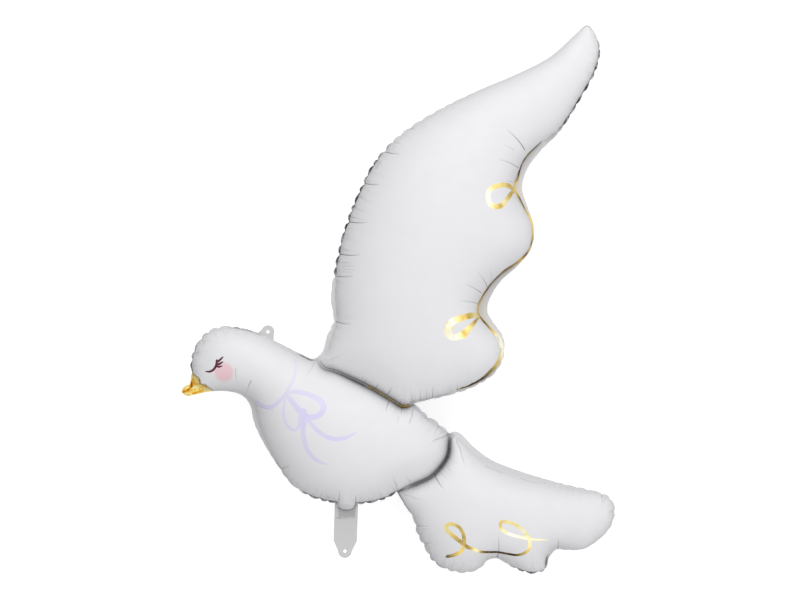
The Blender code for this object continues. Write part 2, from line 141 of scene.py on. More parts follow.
# The edge of the gilt beak on the head, in the photograph's pixels, and corners well outside the film
# that close it to a loop
BEAK_EDGE = (
    (192.4, 373.2), (193.8, 374), (196.2, 375.6), (199.2, 377.6), (200.4, 380), (200.4, 382.4),
    (202.3, 383.8), (205, 384.2), (208, 386), (210.5, 388.2), (212.2, 389.8),
)
BEAK_AROUND = ((214, 398), (176, 398), (176, 371), (190, 371))
HANG_TAB_ROOT = (-0.241, -0.066)
FILL_TAB_ROOT = (-0.094, -0.369)

# Creases in the film, in the photograph's pixels: the foot on a seam, the inner end, and the depth as
# a share of the deepest, which also sets how strong the painted shade in the crease is
WING_CREASES = (
    (336, 321, 352, 323.5, 0.8), (337, 276, 354, 275.5, 0.8), (341, 254, 361, 254.5, 0.9),
    (349, 221.5, 368, 222.5, 1), (364, 183, 380, 185, 0.9), (386, 152, 399, 154.5, 0.9),
    (411, 128, 416, 129.5, 0.4), (433, 113, 437, 114, 0.2), (344, 262, 356, 262, 0.2),
    (343, 265.5, 357, 265.5, 0.25), (343, 268.5, 357, 268.5, 0.25), (343, 271.5, 356, 271.5, 0.2),
    (346, 315, 356, 315.5, 0.15), (346, 318, 357, 318, 0.15), (524, 150, 505, 130, 0.8),
    (513, 151, 503, 146, 0.3), (518, 168, 497, 160, 0.6), (512, 182, 503, 182, 0.3),
    (487, 287, 477, 272, 0.6), (491, 281, 489, 268, 0.3), (480, 292, 463, 284, 0.6),
    (477, 303, 459, 301.5, 0.5), (432, 397, 432, 385, 0.7), (429, 397, 429, 389, 0.2),
    (426, 398, 426, 387, 0.4), (420, 399, 419, 388, 0.4), (415, 400, 414, 391, 0.2),
    (457, 389, 456, 381, 0.4), (363, 382, 367, 377, 0.6), (375, 388, 379, 381, 0.6),
    (387, 394, 392, 385, 0.7), (399, 403, 402, 397, 0.4), (595, 60, 591, 59, 0.15),
    (590, 80, 586, 78, 0.15), (583, 93, 579, 91, 0.15),
    (576, 104, 572, 101, 0.15), (569, 113.5, 565, 111, 0.15),
)
BODY_CREASES = (
    (389, 401, 386, 411, 0.7), (402, 407, 401, 413, 0.8), (399, 416, 397, 423, 0.3),
    (282, 468, 291, 463, 0.5), (320, 498, 322, 489, 0.4), (338.5, 500, 339, 489, 0.7),
    (355.5, 502, 355, 493, 0.7), (394, 490, 390, 482, 0.3), (397, 489, 393, 480, 0.3),
    (411, 483, 405, 475, 0.4), (428, 416, 427, 421, 0.6), (438.5, 426, 434, 435, 0.4),
    (334, 368, 333, 375, 0.5), (330, 368, 327, 374, 0.3), (256, 404, 277, 410, 0.3),
    (236, 368, 238.5, 387, 0.35), (251.5, 380, 247, 393, 0.55), (196, 371, 206, 379, 0.25),
)
TAIL_CREASES = (
    (434.5, 474, 443, 488, 0.9), (445, 465, 456, 474, 0.35), (426, 479, 430, 489, 0.3),
    (417, 483, 417, 489, 0.4), (439, 470, 448, 479, 0.25), (409, 488, 406, 492, 0.4),
    (450, 458, 458, 463, 0.2), (497.6, 556, 497, 535, 0.7), (558, 549, 557, 537, 0.7),
    (547, 557, 545.5, 569, 0.8), (417, 525, 430, 525, 0.4), (425, 543, 434, 541, 0.4),
    (602, 496, 603, 503, 0.4), (588, 489, 588, 495, 0.2),
    (454, 435, 449, 447, 0.6), (452, 434, 448, 443, 0.4), (486, 466, 512, 474, 0.25),
    (521, 478, 545, 483, 0.2),
)
TAB_CREASES = (
    (337, 517.6, 355, 517.6, 0.45), (340.5, 512, 345, 517, 0.15), (349, 512, 346, 517, 0.15),
)

# Spots of painted dark reflection on the border, in the photograph's pixels: the spot's place and
# radius, and how dark it is
DARK_BORDER = (
    (390, 148, 9, 0.5), (374, 168, 16, 1), (358, 195, 18, 1), (347, 225, 20, 1), (341, 255, 16, 1),
    (337, 266, 9, 1), (587, 27, 5, 0.35), (598, 52, 9, 0.8), (595, 68, 9, 1), (586, 87, 10, 1),
    (577, 102, 9, 1), (566, 119, 12, 0.9), (555, 134, 10, 0.3), (194, 352, 8, 0.8),
    (192, 366, 8, 0.9), (303, 355, 5, 0.7), (309, 358.5, 5, 0.7), (202, 336, 8, 0.25),
    (241, 328, 10, 0.5), (251, 333, 8, 0.5), (262, 425, 22, 0.12), (278, 470, 14, 0.3),
    (309, 494, 6, 0.9), (318, 498, 7, 0.9), (331, 501, 9, 1), (339, 506, 5, 1), (354, 506, 5, 1),
    (365, 503, 10, 1), (381, 500, 7, 1), (392, 495, 7, 0.9), (399, 491, 6, 0.8), (405, 503, 10, 0.7),
    (418, 535, 14, 0.3), (436, 562, 10, 0.4), (521, 571, 8, 0.8), (531, 574, 6, 1),
    (546, 563, 7, 0.7), (448, 438, 5, 0.6), (440, 395, 8, 0.3), (428, 399, 7, 0.3),
)


def film_prop(name, description, value):
    """A length in metres for the panel."""
    return FloatProperty(name=name, description=description, default=value, min=0.0, precision=4,
                         unit="LENGTH", subtype="DISTANCE")


def colour_prop(name, description, value):
    """A colour for the panel."""
    return FloatVectorProperty(name=name, description=description, default=value, size=3, min=0.0,
                               max=1.0, subtype="COLOR")


class DoveSizes(bpy.types.PropertyGroup):
    """The balloon's driving sizes."""
    height: film_prop("Height", "From the wing's tip to the lowest edge of the tail", 0.850)
    wing_depth: film_prop("Wing depth", "How thick the wing's chamber blows up", 0.150)
    body_depth: film_prop("Body depth", "How thick the body's chamber blows up", 0.130)
    tail_depth: film_prop("Tail depth", "How thick the tail's chamber blows up", 0.105)
    rest_flat: film_prop("Flat spot", "How far each chamber is pressed flat where it lies", 0.004)
    level_blend: film_prop("Level blend", "How wide a chamber's middle plane takes to settle", 0.045)
    film_edge: film_prop("Edge", "The welded border's thickness", 0.0006)
    border: film_prop("Border", "The welded border's width where it shows whole", 0.0055)
    weld: film_prop("Weld", "The width of the welds between the chambers", 0.0040)
    pucker_spacing: film_prop("Pucker spacing", "From one pucker of the border to the next", 0.0175)
    pucker_depth: film_prop("Pucker depth", "How far the border draws in at a pucker", 0.0030)
    crease_depth: film_prop("Crease depth", "How deep the deepest crease cuts", 0.0018)
    crease_width: film_prop("Crease width", "Half the width of a crease at its foot", 0.0010)
    front_facet: film_prop("Front facets", "The size of the facets on the printed side", 0.00225)
    back_facet: film_prop("Back facets", "The size of the facets on the side it lies on", 0.0032)


class DoveColours(bpy.types.PropertyGroup):
    """The film's colours and the prints', with painted shade, lit and highlight copies of the gilt."""
    pearl: colour_prop("Pearl", "The white film", (0.78, 0.78, 0.80))
    gold: colour_prop("Gold", "The metallic print", (0.90, 0.66, 0.20))
    # Painted light on the gilt: a painted shade, a painted lit tone and a painted highlight, all copies of
    # the gold
    gold_painted_shade: colour_prop("Dark gold", "The metallic print in its folds", (0.075, 0.045, 0.006))
    gold_painted_lit: colour_prop("Light gold", "The metallic print where it is lit", (1.0, 0.89, 0.44))
    gold_painted_highlight: colour_prop("Pale gold", "The metallic print where it shines", (1.0, 0.99, 0.86))
    beak: colour_prop("Beak", "The gilt film of the beak", (0.90, 0.42, 0.04))
    # Painted light on the beak: a painted lit tone and a painted highlight, copies of its gilt
    beak_painted_lit: colour_prop("Light beak", "The beak's film where it is lit", (1.0, 0.70, 0.13))
    beak_painted_highlight: colour_prop("Pale beak", "The beak's film where it shines", (1.0, 0.90, 0.46))
    lavender: colour_prop("Lavender", "The painted bow", (0.66, 0.63, 0.86))
    ink: colour_prop("Ink", "The closed eye", (0.10, 0.006, 0.024))
    blush: colour_prop("Blush", "The cheek", (0.82, 0.53, 0.58))
    bare_film: colour_prop("Bare film", "The border and the tabs", (0.71, 0.71, 0.72))


class DoveStage(bpy.types.PropertyGroup):
    """The floor's and the lights' strengths."""
    key_energy: FloatProperty(name="Key light", description="Power of the light above the wing's tip",
                              default=57.0, min=0.0, unit="POWER")
    side_energy: FloatProperty(name="Side light", description="Power of the light beside the wing",
                               default=12.0, min=0.0, unit="POWER")
    fill_energy: FloatProperty(name="Fill light", description="Power of the light beyond the tail",
                               default=19.0, min=0.0, unit="POWER")
    sky: FloatProperty(name="Sky", description="Strength of the room's own light", default=0.69, min=0.0)
    floor_glow: FloatProperty(name="Floor glow", description="Light that the floor gives by itself",
                              default=0.8, min=0.0)


def pixel_size():
    """What one of the photograph's pixels measures on the balloon."""
    return bpy.context.scene.dove_sizes.height / BALLOON_PIXELS


def pixels(points):
    """Places in the photograph, as metres from the balloon's middle there."""
    points = np.atleast_2d(np.array(points, dtype=float))
    return (points[:, :2] - BALLOON_CENTRE) * (pixel_size(), -pixel_size())


CURVE_STEPS = 24
TINY = 1e-12


def smooth_line(points):
    """A Catmull-Rom curve through the points, with their other columns alongside."""
    points = np.array(points, dtype=float)
    padded = np.vstack((2 * points[:1] - points[1:2], points, 2 * points[-1:] - points[-2:-1]))
    shares = (np.arange(CURVE_STEPS) / CURVE_STEPS)[:, None]
    pieces = []
    for p0, p1, p2, p3 in zip(padded, padded[1:], padded[2:], padded[3:]):
        pieces.append(0.5 * (2 * p1 + (p2 - p0) * shares + (2 * p0 - 5 * p1 + 4 * p2 - p3) * shares ** 2
                             + (3 * p1 - p0 - 3 * p2 + p3) * shares ** 3))
    return np.vstack((*pieces, points[-1:]))


def lengths_along(curve):
    """The distance of each point from the start, along the curve."""
    steps = np.linalg.norm(np.diff(curve[:, :2], axis=0), axis=1)
    return np.concatenate(([0.0], np.cumsum(steps)))


def read_at(curve, along, places):
    """The curve's columns at given distances from its start."""
    return np.column_stack([np.interp(places, along, column) for column in curve.T])


def evenly(curve, spacing):
    """The curve again, in even steps close to the spacing."""
    along = lengths_along(curve)
    count = max(2, round(along[-1] / spacing))
    return read_at(curve, along, np.linspace(0.0, along[-1], count + 1))


def inward(points):
    """Unit vectors that point to the right of the way the points run."""
    ways = np.gradient(points[:, :2], axis=0)
    ways /= np.maximum(np.linalg.norm(ways, axis=1)[:, None], TINY)
    return np.column_stack((ways[:, 1], -ways[:, 0]))


def inside(points, loop):
    """Which points lie inside a closed loop: each side of it turns over those that lie to its left."""
    order = np.argsort(points[:, 1])
    across, up = points[order, 0], points[order, 1]
    turned = np.zeros(len(points), dtype=bool)
    for (x1, y1), (x2, y2) in zip(loop, np.roll(loop, -1, axis=0)):
        if y1 == y2:
            continue
        low, high = np.searchsorted(up, sorted((y1, y2)))
        level = slice(low, high)
        turned[level] ^= across[level] < x1 + (up[level] - y1) * (x2 - x1) / (y2 - y1)
    found = np.empty_like(turned)
    found[order] = turned
    return found


def tree_of(points):
    """A tree that finds the nearest of the points."""
    tree = KDTree(len(points))
    for number, (x, y) in enumerate(points):
        tree.insert((x, y, 0.0), number)
    tree.balance()
    return tree


class Seam:
    """A line that distances are measured from, with its half width and one more value at each point."""

    SPACING = 0.0004

    def __init__(self, line, widths, values):
        dense = evenly(np.column_stack((line[:, :2], widths, values)), self.SPACING)
        self.line = line[:, :2]
        self.widths = np.asarray(widths, dtype=float)
        self.dense_line = dense[:, :2]
        self.dense_widths = dense[:, 2]
        self.dense_values = dense[:, 3]
        self.tree = tree_of(self.dense_line)

    def nearest(self, points):
        """Each point's distance from the line, and the number of the nearest spot on it."""
        spots, gaps = zip(*[self.tree.find((x, y, 0.0))[1:] for x, y in points])
        return np.array(gaps), np.array(spots)


def all_creases():
    """Every crease of the photograph as foot, inner end and depth share, in metres."""
    table = np.array(WING_CREASES + BODY_CREASES + TAIL_CREASES + TAB_CREASES, dtype=float)
    return pixels(table[:, :2]), pixels(table[:, 2:4]), table[:, 4]


FOOT_REACH = 0.009
UNEVENNESS = 0.16
RHYTHM = 2.4
SWELL = 0.35
DIP_WIDTH = 0.0045
DIP_DEPTH = 0.0016
DIP_WHERE_SMOOTH = 0.2
BORDER_SWELL = 0.8
BORDER_PINCH = 1.5
LEAST_BORDER = 0.18


def puckered_run(run, feet, strengths, step):
    """One stretch of the outline, drawn in at each pucker and crease, with its border width."""
    sizes = bpy.context.scene.dove_sizes
    curve = smooth_line(run)
    curve[:, :2] *= sizes.height
    along = lengths_along(curve)
    gaps = np.linalg.norm(feet[:, None, :] - curve[None, :, :2], axis=2)
    own = gaps.min(axis=1) < FOOT_REACH
    marks = along[gaps.argmin(axis=1)]
    own &= (marks > FOOT_REACH) & (marks < along[-1] - FOOT_REACH)
    order = np.argsort(marks[own])
    marks, depths = marks[own][order], strengths[own][order]
    cusps = [0.0]
    for start, end in zip([0.0, *marks], [*marks, along[-1]]):
        lobes = max(1, round((end - start) / sizes.pucker_spacing))
        counts = np.arange(1, lobes + 1)
        uneven = counts + UNEVENNESS * np.sin(RHYTHM * counts + start / sizes.pucker_spacing)
        uneven[-1] = lobes
        cusps.extend(start + (end - start) * uneven / lobes)
    cusps = np.array(cusps)
    places = [np.linspace(a, b, max(2, round((b - a) / step)), endpoint=False)
              for a, b in zip(cusps, cusps[1:])]
    places = np.concatenate((*places, cusps[-1:]))
    turns = np.interp(places, cusps, np.arange(len(cusps)))
    across = np.abs(2.0 * (turns % 1.0) - 1.0)
    samples = read_at(curve, along, places)
    pucker = np.clip(samples[:, 2], 0.0, 1.0)
    drawn_in = sizes.pucker_depth * pucker * (across ** 2 - SWELL)
    for mark, depth in zip(marks, depths):
        dip = np.exp(-((places - mark) / DIP_WIDTH) ** 2)
        drawn_in += DIP_DEPTH * depth * dip * np.minimum(1.0, pucker + DIP_WHERE_SMOOTH)
    line = samples[:, :2] + drawn_in[:, None] * inward(samples)
    fullness = 1.0 + pucker * (BORDER_SWELL - BORDER_PINCH * across ** 2)
    widths = sizes.border * np.clip(samples[:, 3] * fullness, LEAST_BORDER, None)
    return np.column_stack((line, widths, pucker, places, across))


# The film's filling neck runs out over the filling tab
NECK_HALF_WIDTH = 0.0125
NECK_REACH = 0.0125


def cut_pattern(step):
    """The flat pattern: the outline with its border's width, the welds, and the loops they close."""
    sizes = bpy.context.scene.dove_sizes
    feet, _, strengths = all_creases()
    runs = [puckered_run(run, feet, strengths, step) for _, run in RUNS]
    chambers = np.concatenate([[name] * (len(run) - 1) for (name, _), run in zip(RUNS, runs)])
    outline = np.vstack([run[:-1] for run in runs])
    root = np.array(FILL_TAB_ROOT) * sizes.height
    beside = (outline[:, 0] - root[0]) / NECK_HALF_WIDTH
    close = np.linalg.norm(outline[:, :2] - root, axis=1) < 3.0 * NECK_HALF_WIDTH
    swell = np.where(close, np.exp(-beside ** 4), 0.0)
    outline[:, 2] -= swell * NECK_REACH
    shares = (sizes.height, sizes.height, 1.0)
    welds = [evenly(smooth_line(np.array(weld) * shares), step) for weld in (WING_WELD, TAIL_WELD)]
    wing_weld, tail_weld = (weld[:, :2] for weld in welds)
    beak_edge = evenly(smooth_line(pixels(BEAK_EDGE)), step)
    no_width = np.zeros(len(beak_edge))
    beak, head, wing, back, tail, belly = (run[:, :2] for run in runs)
    body = (beak, head, wing_weld, back, tail_weld, belly)
    closed = np.vstack((outline, outline[:1]))
    return SimpleNamespace(
        outline=outline[:, :2],
        border=Seam(closed[:, :2], closed[:, 2], closed[:, 3]),
        chambers=chambers,
        welds=[Seam(weld, np.full(len(weld), 0.5 * sizes.weld), weld[:, 2]) for weld in welds],
        beak_edge=Seam(beak_edge, no_width, no_width),
        wing=np.vstack((wing, wing_weld[-2:0:-1])),
        tail=np.vstack((tail, tail_weld[-2:0:-1])),
        body=np.vstack([run[:-1] for run in body]),
        beak=np.vstack((beak_edge, pixels(BEAK_AROUND))),
    )


# The tabs: half width, length of the straight sides, reach of the lobe's middle, its radius, its hole
HANG_TAB = (0.0135, 0.0, 0.0085, 0.0100, 0.0027)
FILL_TAB = (0.0180, 0.058, 0.074, 0.0105, 0.0027)
FILL_TAB_LEAN = math.radians(-1.5)
LOBE_SIDES = 20
HOLE_SIDES = 20
FOOT_SPAN = 0.019
FOOT_SLACK = 0.3


def tab_outline(tab, step):
    """A strip with a round lobe on its end, as (along the border, outward) pairs."""
    half_width, length, reach, radius, _ = tab
    turns = np.linspace(math.pi, 0.0, LOBE_SIDES + 1)
    lobe = [(radius * math.cos(turn), reach + radius * math.sin(turn)) for turn in turns]
    corners = np.array([(-half_width, 0.0), (-half_width, length), *lobe,
                        (half_width, length), (half_width, 0.0)])
    sides = []
    for start, end in zip(corners, corners[1:]):
        count = max(1, round(np.linalg.norm(end - start) / step))
        sides.append(start + (end - start) * (np.arange(count) / count)[:, None])
    return np.vstack((*sides, corners[-1:]))


def tab_frame(outline, root, lean, height, step):
    """The tab's foot on the outline, with the ways along the border and outward there."""
    root = np.array(root) * height
    nearest = int(np.argmin(np.linalg.norm(outline - root, axis=1)))
    reach = round(FOOT_SPAN / step)
    span = outline[(nearest + reach) % len(outline)] - outline[nearest - reach]
    turn = math.atan2(span[1], span[0]) + lean
    way = np.array((math.cos(turn), math.sin(turn)))
    return root, way, np.array((-way[1], way[0]))


def add_tab(outline, place, shape, step):
    """Put a tab into the outline, in place of the border between its two feet."""
    root, way, outward = place
    placed = root + shape[:, :1] * way + shape[:, 1:] * outward
    offset = outline - root
    foot = abs(shape[0, 0])
    covered = np.abs(offset @ way) < foot + FOOT_SLACK * step
    covered &= np.linalg.norm(offset, axis=1) < 3.0 * foot
    first = int(np.argmin(np.where(covered, offset @ way, np.inf)))
    turned = np.roll(outline, -first, axis=0)
    return np.vstack((placed, turned[~np.roll(covered, -first)]))


def add_tabs(pattern, step):
    """The outline with both tabs, and the ribbon hole in each."""
    height = bpy.context.scene.dove_sizes.height
    rim, holes = pattern.outline, []
    for tab, root, lean in ((HANG_TAB, HANG_TAB_ROOT, 0.0), (FILL_TAB, FILL_TAB_ROOT, FILL_TAB_LEAN)):
        place = tab_frame(pattern.outline, root, lean, height, step)
        rim = add_tab(rim, place, tab_outline(tab, step), step)
        turns = 2.0 * math.pi * np.arange(HOLE_SIDES) / HOLE_SIDES
        middle = place[0] + tab[2] * place[2]
        holes.append(middle + tab[4] * np.column_stack((np.cos(turns), np.sin(turns))))
    return rim, holes


def room_inside(pattern, points):
    """How far inside the nearest seam each point lies."""
    gaps, spots = pattern.border.nearest(points)
    within = np.where(inside(points, pattern.outline), gaps, -gaps)
    room = within - pattern.border.dense_widths[spots]
    for weld in pattern.welds:
        gaps, spots = weld.nearest(points)
        room = np.minimum(room, gaps - weld.dense_widths[spots])
    return room


ROWS = (0.0, 0.0007, 0.0016, 0.0029)
WELD_ROW = -0.0010
BORDER_ROW = -0.0004
ROW_SLACK = 0.00025
CROWDED = 0.45
BROKEN = 2.5

# A place counts as film, and no longer as border or weld, from this far inside the seam
SEAM_ROOM = 0.3 * ROWS[1]


def seam_rows(pattern, step):
    """Unbroken lines that run along inside each seam, cut where another seam is nearer."""
    stretches = []
    seams = [(pattern.border, (1,)), *[(weld, (1, -1)) for weld in pattern.welds]]
    rows = [(BORDER_ROW, *seams[0]), *[(WELD_ROW, *weld) for weld in seams[1:]]]
    rows.extend((distance, *seam) for distance in ROWS for seam in seams)
    for distance, seam, sides in rows:
        for side in sides:
            row = seam.line + side * (seam.widths + distance)[:, None] * inward(seam.line)
            clear = room_inside(pattern, row) > distance - ROW_SLACK
            stretches.extend(unbroken(row, clear, step))
    return stretches


def unbroken(row, clear, step):
    """The row's clear stretches, without points that crowd the one before."""
    stretch = []
    for point, is_clear in zip(row, clear):
        apart = np.linalg.norm(point - stretch[-1]) if stretch else step
        if is_clear and apart < CROWDED * step:
            continue
        if stretch and (not is_clear or apart > BROKEN * step):
            yield np.array(stretch)
            stretch = []
        if is_clear:
            stretch.append(point)
    if stretch:
        yield np.array(stretch)


MERGED = 1e-5


def film_sheet(rim, holes, lines, free):
    """The flat sheet as triangles that follow the rim, the holes and the lines."""
    points, edges = [], []
    loops = [(loop, True) for loop in (rim, *holes)]
    for line, closed in [*loops, *[(line, False) for line in lines]]:
        start = len(points)
        points.extend(line)
        edges.extend((start + i, start + i + 1) for i in range(len(line) - 1))
        if closed:
            edges.append((start + len(line) - 1, start))
    points.extend(free)
    flat = delaunay_2d_cdt([Vector(point) for point in points], edges, [], 0, MERGED)
    places = np.array([tuple(point) for point in flat[0]])
    triangles = np.array(flat[2])
    centres = places[triangles].mean(axis=1)
    kept = inside(centres, rim)
    for hole in holes:
        kept &= ~inside(centres, hole)
    triangles = triangles[kept]
    used = np.unique(triangles)
    renumbered = np.full(len(places), -1)
    renumbered[used] = np.arange(len(used))
    edge_count = len(rim) + sum(len(hole) for hole in holes)
    edge = np.full(edge_count, -1)
    for number, originals in enumerate(flat[3]):
        for original in originals:
            if original < edge_count:
                edge[original] = renumbered[number]
    if edge.min() < 0:
        raise RuntimeError("a point of the film's rim is missing from its sheet")
    return places[used], renumbered[triangles], edge


def close_grid(low, high, step):
    """Points in rows of even triangles over a box."""
    rise = step * math.sqrt(0.75)
    return np.array([(x + 0.5 * step * (k % 2), y)
                     for k, y in enumerate(np.arange(low[1], high[1], rise))
                     for x in np.arange(low[0], high[0], step)])


BEAK_STEP = 0.0012
BEAK_BOX = ((180, 397), (215, 371))
LINE_CLEARANCE = 0.62
SEAM_CLEARANCE = 0.35


def open_grid(pattern, rim, lines, step):
    """Close grids of points over the whole film, finest on the beak, and clear of the lines."""
    whole = close_grid(rim.min(axis=0), rim.max(axis=0), step)
    low, high = pixels(BEAK_BOX)
    fine = close_grid(low, high, BEAK_STEP)
    fine_step = np.concatenate((np.full(len(whole), step), np.full(len(fine), BEAK_STEP)))
    on_beak = np.concatenate((~inside(whole, pattern.beak), inside(fine, pattern.beak)))
    grid = np.vstack((whole, fine))
    kept = inside(grid, rim) & on_beak
    grid, steps = grid[kept], fine_step[kept]
    tree = tree_of(np.vstack((rim, *lines)))
    kept = np.array([tree.find((x, y, 0.0))[2] for x, y in grid]) > LINE_CLEARANCE * steps
    grid, steps = grid[kept], steps[kept]
    room = room_inside(pattern, grid)
    clearance = SEAM_CLEARANCE * steps
    return grid[(room < -clearance) | (room > ROWS[-1] + clearance)]


LEAST_WEIGHT = 1e-6
SOLVED = 1e-14


def stretched(places, triangles, free):
    """The rise of an evenly pressed membrane over the sheet, held where it isn't free."""
    count = len(places)
    corners = places[triangles]
    firsts, seconds, weights = [], [], []
    load = np.zeros(count)
    for k in range(3):
        a, b, c = (triangles[:, (k + i) % 3] for i in range(3))
        to_a = corners[:, k] - corners[:, (k + 2) % 3]
        to_b = corners[:, (k + 1) % 3] - corners[:, (k + 2) % 3]
        area = np.abs(to_a[:, 0] * to_b[:, 1] - to_a[:, 1] * to_b[:, 0])
        firsts.append(a)
        seconds.append(b)
        weights.append(0.5 * (to_a * to_b).sum(axis=1) / np.maximum(area, TINY))
        load += np.bincount(c, area / 6.0, count)
    one, other, weight = (np.concatenate(parts) for parts in (firsts, seconds, weights))
    whole = np.bincount(one, weight, count) + np.bincount(other, weight, count)
    whole = np.where(free, np.maximum(whole, LEAST_WEIGHT), 1.0)

    def pull(rise):
        spread = np.bincount(one, weight * rise[other], count)
        spread += np.bincount(other, weight * rise[one], count)
        return np.where(free, whole * rise - spread, 0.0)

    rise = np.zeros(count)
    left = np.where(free, load, 0.0)
    step = left / whole
    way = step.copy()
    product = left @ step
    limit = SOLVED * product
    while product > limit:
        pulled = pull(way)
        share = product / (way @ pulled)
        rise += share * way
        left -= share * pulled
        step = left / whole
        product, before = left @ step, product
        way = step + product / before * way
    return np.maximum(rise, 0.0)


def settle(distance, reach):
    """A share that falls smoothly from one at no distance to none at the reach."""
    share = np.clip(1.0 - distance / reach, 0.0, 1.0)
    return share * share * (3.0 - 2.0 * share)


CREASE_STEP = 0.0011
CREASE_BOW = 0.05
CREASE_SHOULDER = 0.18
CREASE_ASIDE = 0.02
CREASE_START = -0.001
CREASE_FADE = 0.7
CREASE_SHADE = 1.15


def bowed(inwards, length):
    """How far a crease strays to its side at each distance along it."""
    share = inwards / length
    return CREASE_BOW * length * 4.0 * share * (1.0 - share)


def crease_lines(rim):
    """Lines down the middle and both sides of every crease, clear of the film's rim."""
    width = bpy.context.scene.dove_sizes.crease_width
    tree = tree_of(rim)
    lines = []
    for foot, end, _ in zip(*all_creases()):
        length = np.linalg.norm(end - foot)
        way = (end - foot) / length
        aside = np.array((way[1], -way[0]))
        inwards = np.linspace(0.0, length, max(3, round(length / CREASE_STEP)))
        for side in (-1, 0, 1):
            spread = bowed(inwards, length) + side * width * (1.0 - 0.5 * inwards / length)
            line = foot + inwards[:, None] * way + spread[:, None] * aside
            clear = np.array([tree.find((x, y, 0.0))[2] for x, y in line]) > width
            lines.extend(unbroken(line, clear & inside(line, rim), CREASE_STEP))
    return [line for line in lines if len(line) > 1]


def crease_drop(places):
    """How far the creases cut into the film at each place, and how dark the painted shade in them is."""
    sizes = bpy.context.scene.dove_sizes
    drop, dark = np.zeros(len(places)), np.zeros(len(places))
    for foot, end, depth in zip(*all_creases()):
        length = np.linalg.norm(end - foot)
        way = (end - foot) / length
        offset = places - foot
        inwards = offset @ way
        across = offset @ (way[1], -way[0])
        near = np.flatnonzero((np.abs(across) < CREASE_ASIDE) & (inwards > CREASE_START) & (inwards < length))
        share = np.clip(1.0 - inwards[near] / length, 0.0, 1.0)
        width = sizes.crease_width * (0.5 + 0.5 * share)
        side = np.abs(across[near] - bowed(inwards[near], length)) / width
        groove = np.clip(1.0 - side, 0.0, 1.0) - CREASE_SHOULDER * np.exp(-(side - 2.0) ** 2)
        drop[near] += sizes.crease_depth * depth * share ** CREASE_FADE * groove
        # Painted shade down the middle of each crease's groove
        shade = np.minimum(1.0, CREASE_SHADE * depth) * share ** 0.5 * np.clip(1.0 - side, 0.0, 1.0)
        dark[near] = np.maximum(dark[near], shade)
    return drop, dark


# The beak's folds, in the photograph's pixels: both ends and the width, and the rise as a share of
# FOLD_RISE
BEAK_FOLDS = (
    (192, 387.5, 200.5, 385.5, 1.3, 1.3), (195, 377.5, 198.5, 382, 1.7, 1.1),
    (184, 388.5, 188, 387, 2, 0.8), (185, 393, 191, 393.3, 1.4, 0.8),
    (195, 390.5, 204, 387, 1.8, 0.5), (205.5, 389.3, 210.5, 388.6, 2, 2.2),
    (192.5, 376.5, 195, 376, 1.2, 0.6), (190.8, 382, 191.6, 386, 1, -1.4),
    (188.5, 388.2, 190.5, 387, 1.3, -1.1), (182.5, 391.5, 187.5, 389.8, 1.1, -1.1),
    (199.9, 379, 200.2, 382.5, 0.9, -1), (206.3, 385.5, 206.5, 388.6, 0.9, -1),
    (192.5, 393.4, 195, 392.8, 0.9, -0.7), (199, 388.8, 200, 391.5, 1, -0.6),
    (194, 383, 197.5, 384, 1, -0.4), (193.8, 379, 194.4, 382.5, 1.2, -0.25),
)
FOLD_RISE = 0.0007
# Painted light on the gilt, from painted shade at none to a painted highlight at one: its tone away from the
# lines, on the beak, extra at the beak's rim, on the wing's weld, and per metre the beak rises
GILT_TONE = 0.5
TONE_REACH = 0.006
BEAK_TONE = 0.55
BEAK_RIM_TONE = 0.2
WELD_TONE = 0.3
TONE_PER_RISE = 620.0
BEAK_FLATNESS = 0.45
BEAK_ROUNDING = 0.007


def beak_rise(places):
    """How far the beak's folds lift the film at each place."""
    rise = np.zeros(len(places))
    for *ends, width, share_of_rise in BEAK_FOLDS:
        start, end = pixels((ends[:2], ends[2:]))
        way = end - start
        share = np.clip((places - start) @ way / (way @ way), 0.0, 1.0)
        gap = np.linalg.norm(places - start - share[:, None] * way, axis=1)
        rise += FOLD_RISE * share_of_rise * np.exp(-(gap / (width * pixel_size())) ** 2)
    return rise


def chamber_of(pattern, places):
    """The name of the chamber that each place belongs to."""
    _, spots = pattern.border.nearest(places)
    ratio = len(pattern.chambers) / len(pattern.border.dense_line)
    numbers = np.minimum((spots * ratio).astype(int), len(pattern.chambers) - 1)
    names = pattern.chambers[numbers].copy()
    for name in ("wing", "tail", "body"):
        names[inside(places, getattr(pattern, name))] = name
    return names


FULL_FROM = 0.0016
# Painted shade on the welds and in the valleys beside them: how far it reaches into each chamber, how dark
# the valley gets, how dark it is at the weld's side and, for each weld, at its middle
VALLEY_REACH = {"wing": 0.0008, "body": 0.0042, "tail": 0.0034}
VALLEY_SHADE = {"wing": 0.5, "body": 0.65, "tail": 0.6}
WELD_SIDE_SHADE = {"wing": 0.35, "body": 1.0, "tail": 0.95}
WELD_MIDDLES = (0.05, 0.8)
# Painted shade along the beak's edge: how dark it is and how wide
BEAK_EDGE_SHADE = 0.6
BEAK_EDGE_SHADE_WIDTH = 0.0009
VALVE = ((338, 517.6), (354.7, 498))
VALVE_SHADE = 0.38
TAB_SHADE = 0.13
NECK_LINE = 0.85
NECK_EDGE = 0.5
REFLECTION_REACH = 1.5
VALLEY_FROM = 0.9
WELD_GATHER = 0.6


# The stretch of the wing's weld that shows dashed gold, and the gilt web at its end, in the
# photograph's pixels
DASHED_WELD = ((366, 384), (395, 402))
DASH_SPACING = 0.0042
DASH_SHARE = 0.6
# The painted shade on the weld between the gold dashes
DASH_SHADE = 0.28
HALF_MOON = (404, 405)
HALF_MOON_RADIUS = 0.0095


